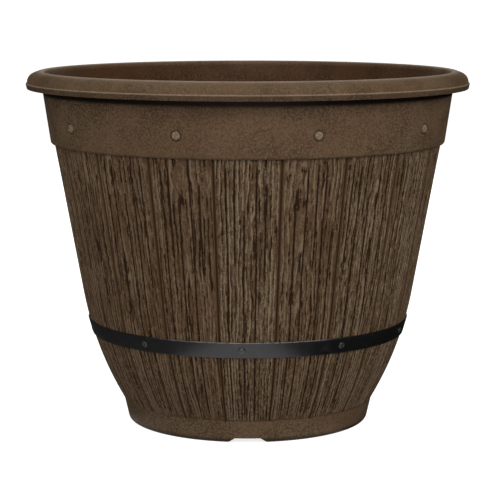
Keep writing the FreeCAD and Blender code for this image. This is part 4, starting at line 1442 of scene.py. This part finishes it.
# %% Flags beside the pot
FLAG_GAP = 25 * MM
FLAG_LENGTH = 1.0
FLAG_HEIGHT = 0.5
FLAG_FOOT_LIFT = 0.5 * MM
FLAG_ROUGHNESS = 0.9
WEAVE_SCALE = 300
WEAVE_ROUGHNESS = 0.1


def flag_finish(name, shade):
    material, graph = new_finish(name)
    weave = graph.noise(graph.object_point(), WEAVE_SCALE)
    close_finish(graph, {
        "Base Color": colour(shade, shade, shade),
        "Roughness": FLAG_ROUGHNESS + weave * WEAVE_ROUGHNESS,
    })
    return material


def add_flag(name, side, foot_reach, material):
    """A card beside the pot, with a foot that reaches in to so far from the middle."""
    across = side * (RIM_RADIUS + FLAG_GAP)
    section = [(side * foot_reach, FLAG_FOOT_LIFT), (across, FLAG_FOOT_LIFT), (across, FLAG_HEIGHT)]
    ends = (-FLAG_LENGTH / 2, FLAG_LENGTH / 2)
    mesh = bpy.data.meshes.new(name)
    mesh.from_pydata([(x, y, z) for y in ends for x, z in section], [], [(0, 1, 4, 3), (1, 2, 5, 4)])
    mesh.materials.append(material)
    flag = new_piece(name, mesh)
    flag.visible_camera = False
    flag.visible_diffuse = False
    flag.visible_shadow = False
    flag.visible_transmission = False
    flag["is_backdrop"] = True
    return flag


grey_card = flag_finish("grey_flag", shade=0.12)
black_card = flag_finish("black_flag", shade=0.004)
flags = [
    add_flag("left_flag", side=-1, foot_reach=110 * MM, material=grey_card),
    add_flag("right_flag", side=1, foot_reach=85 * MM, material=black_card),
]
print(len(flags), "flags")

# %% [markdown]
# The camera stands where the photograph was taken: about 1.7 m in front of the pot, a little above its
# rim, looking slightly down through a long lens. Place, tilt and lens follow from how round the rim, the
# collar, the hoop and the foot look in the picture.

# %% Camera
CAMERA_PLACE = (2.0 * MM, -1694.2 * MM, 396.5 * MM)
# How far the camera looks down from level, in degrees
CAMERA_DIP = 8.26
CAMERA_TILT = math.radians(90 - CAMERA_DIP)
CAMERA_LENS = 137.8
CAMERA_SENSOR = 36

camera_data = bpy.data.cameras.new("camera")
camera_data.lens = CAMERA_LENS
camera_data.sensor_width = CAMERA_SENSOR
camera = bpy.data.objects.new("camera", camera_data)
camera.location = CAMERA_PLACE
camera.rotation_euler = (CAMERA_TILT, 0, 0)
bpy.context.scene.collection.objects.link(camera)
bpy.context.scene.camera = camera
bpy.context.scene.view_settings.view_transform = "Standard"
print("camera lens", CAMERA_LENS, "mm")

# %% [markdown]
# Last, every piece is tied to the body that it moves with, and the solid that it stands for is hidden.
# The boxes of the solids and of what shows are printed side by side.

# %% Tie the pieces to the frame
STANDS_FOR = (
    (shell, "pot_shell", "resin"),
    *[(piece, "pot_shell", "resin") for piece in stave_pieces],
    (hoop, "hoop_band", "hoop"),
    (rivets, "hoop_rivets", "rivet"),
    (lap_rivets, "hoop_lap_rivets", "rivet"),
    (studs, "collar_studs", "stud"),
)
for piece, node, slot in STANDS_FOR:
    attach(piece, "pot")
    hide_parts(node)
print(len(STANDS_FOR), "pieces stand for solids")

# %% Print both boxes and finish
boxes = {"cad": cad_box, "visual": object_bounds()}
for name, box in boxes.items():
    print(name, [[round(value / MM, 2) for value in corner] for corner in box])
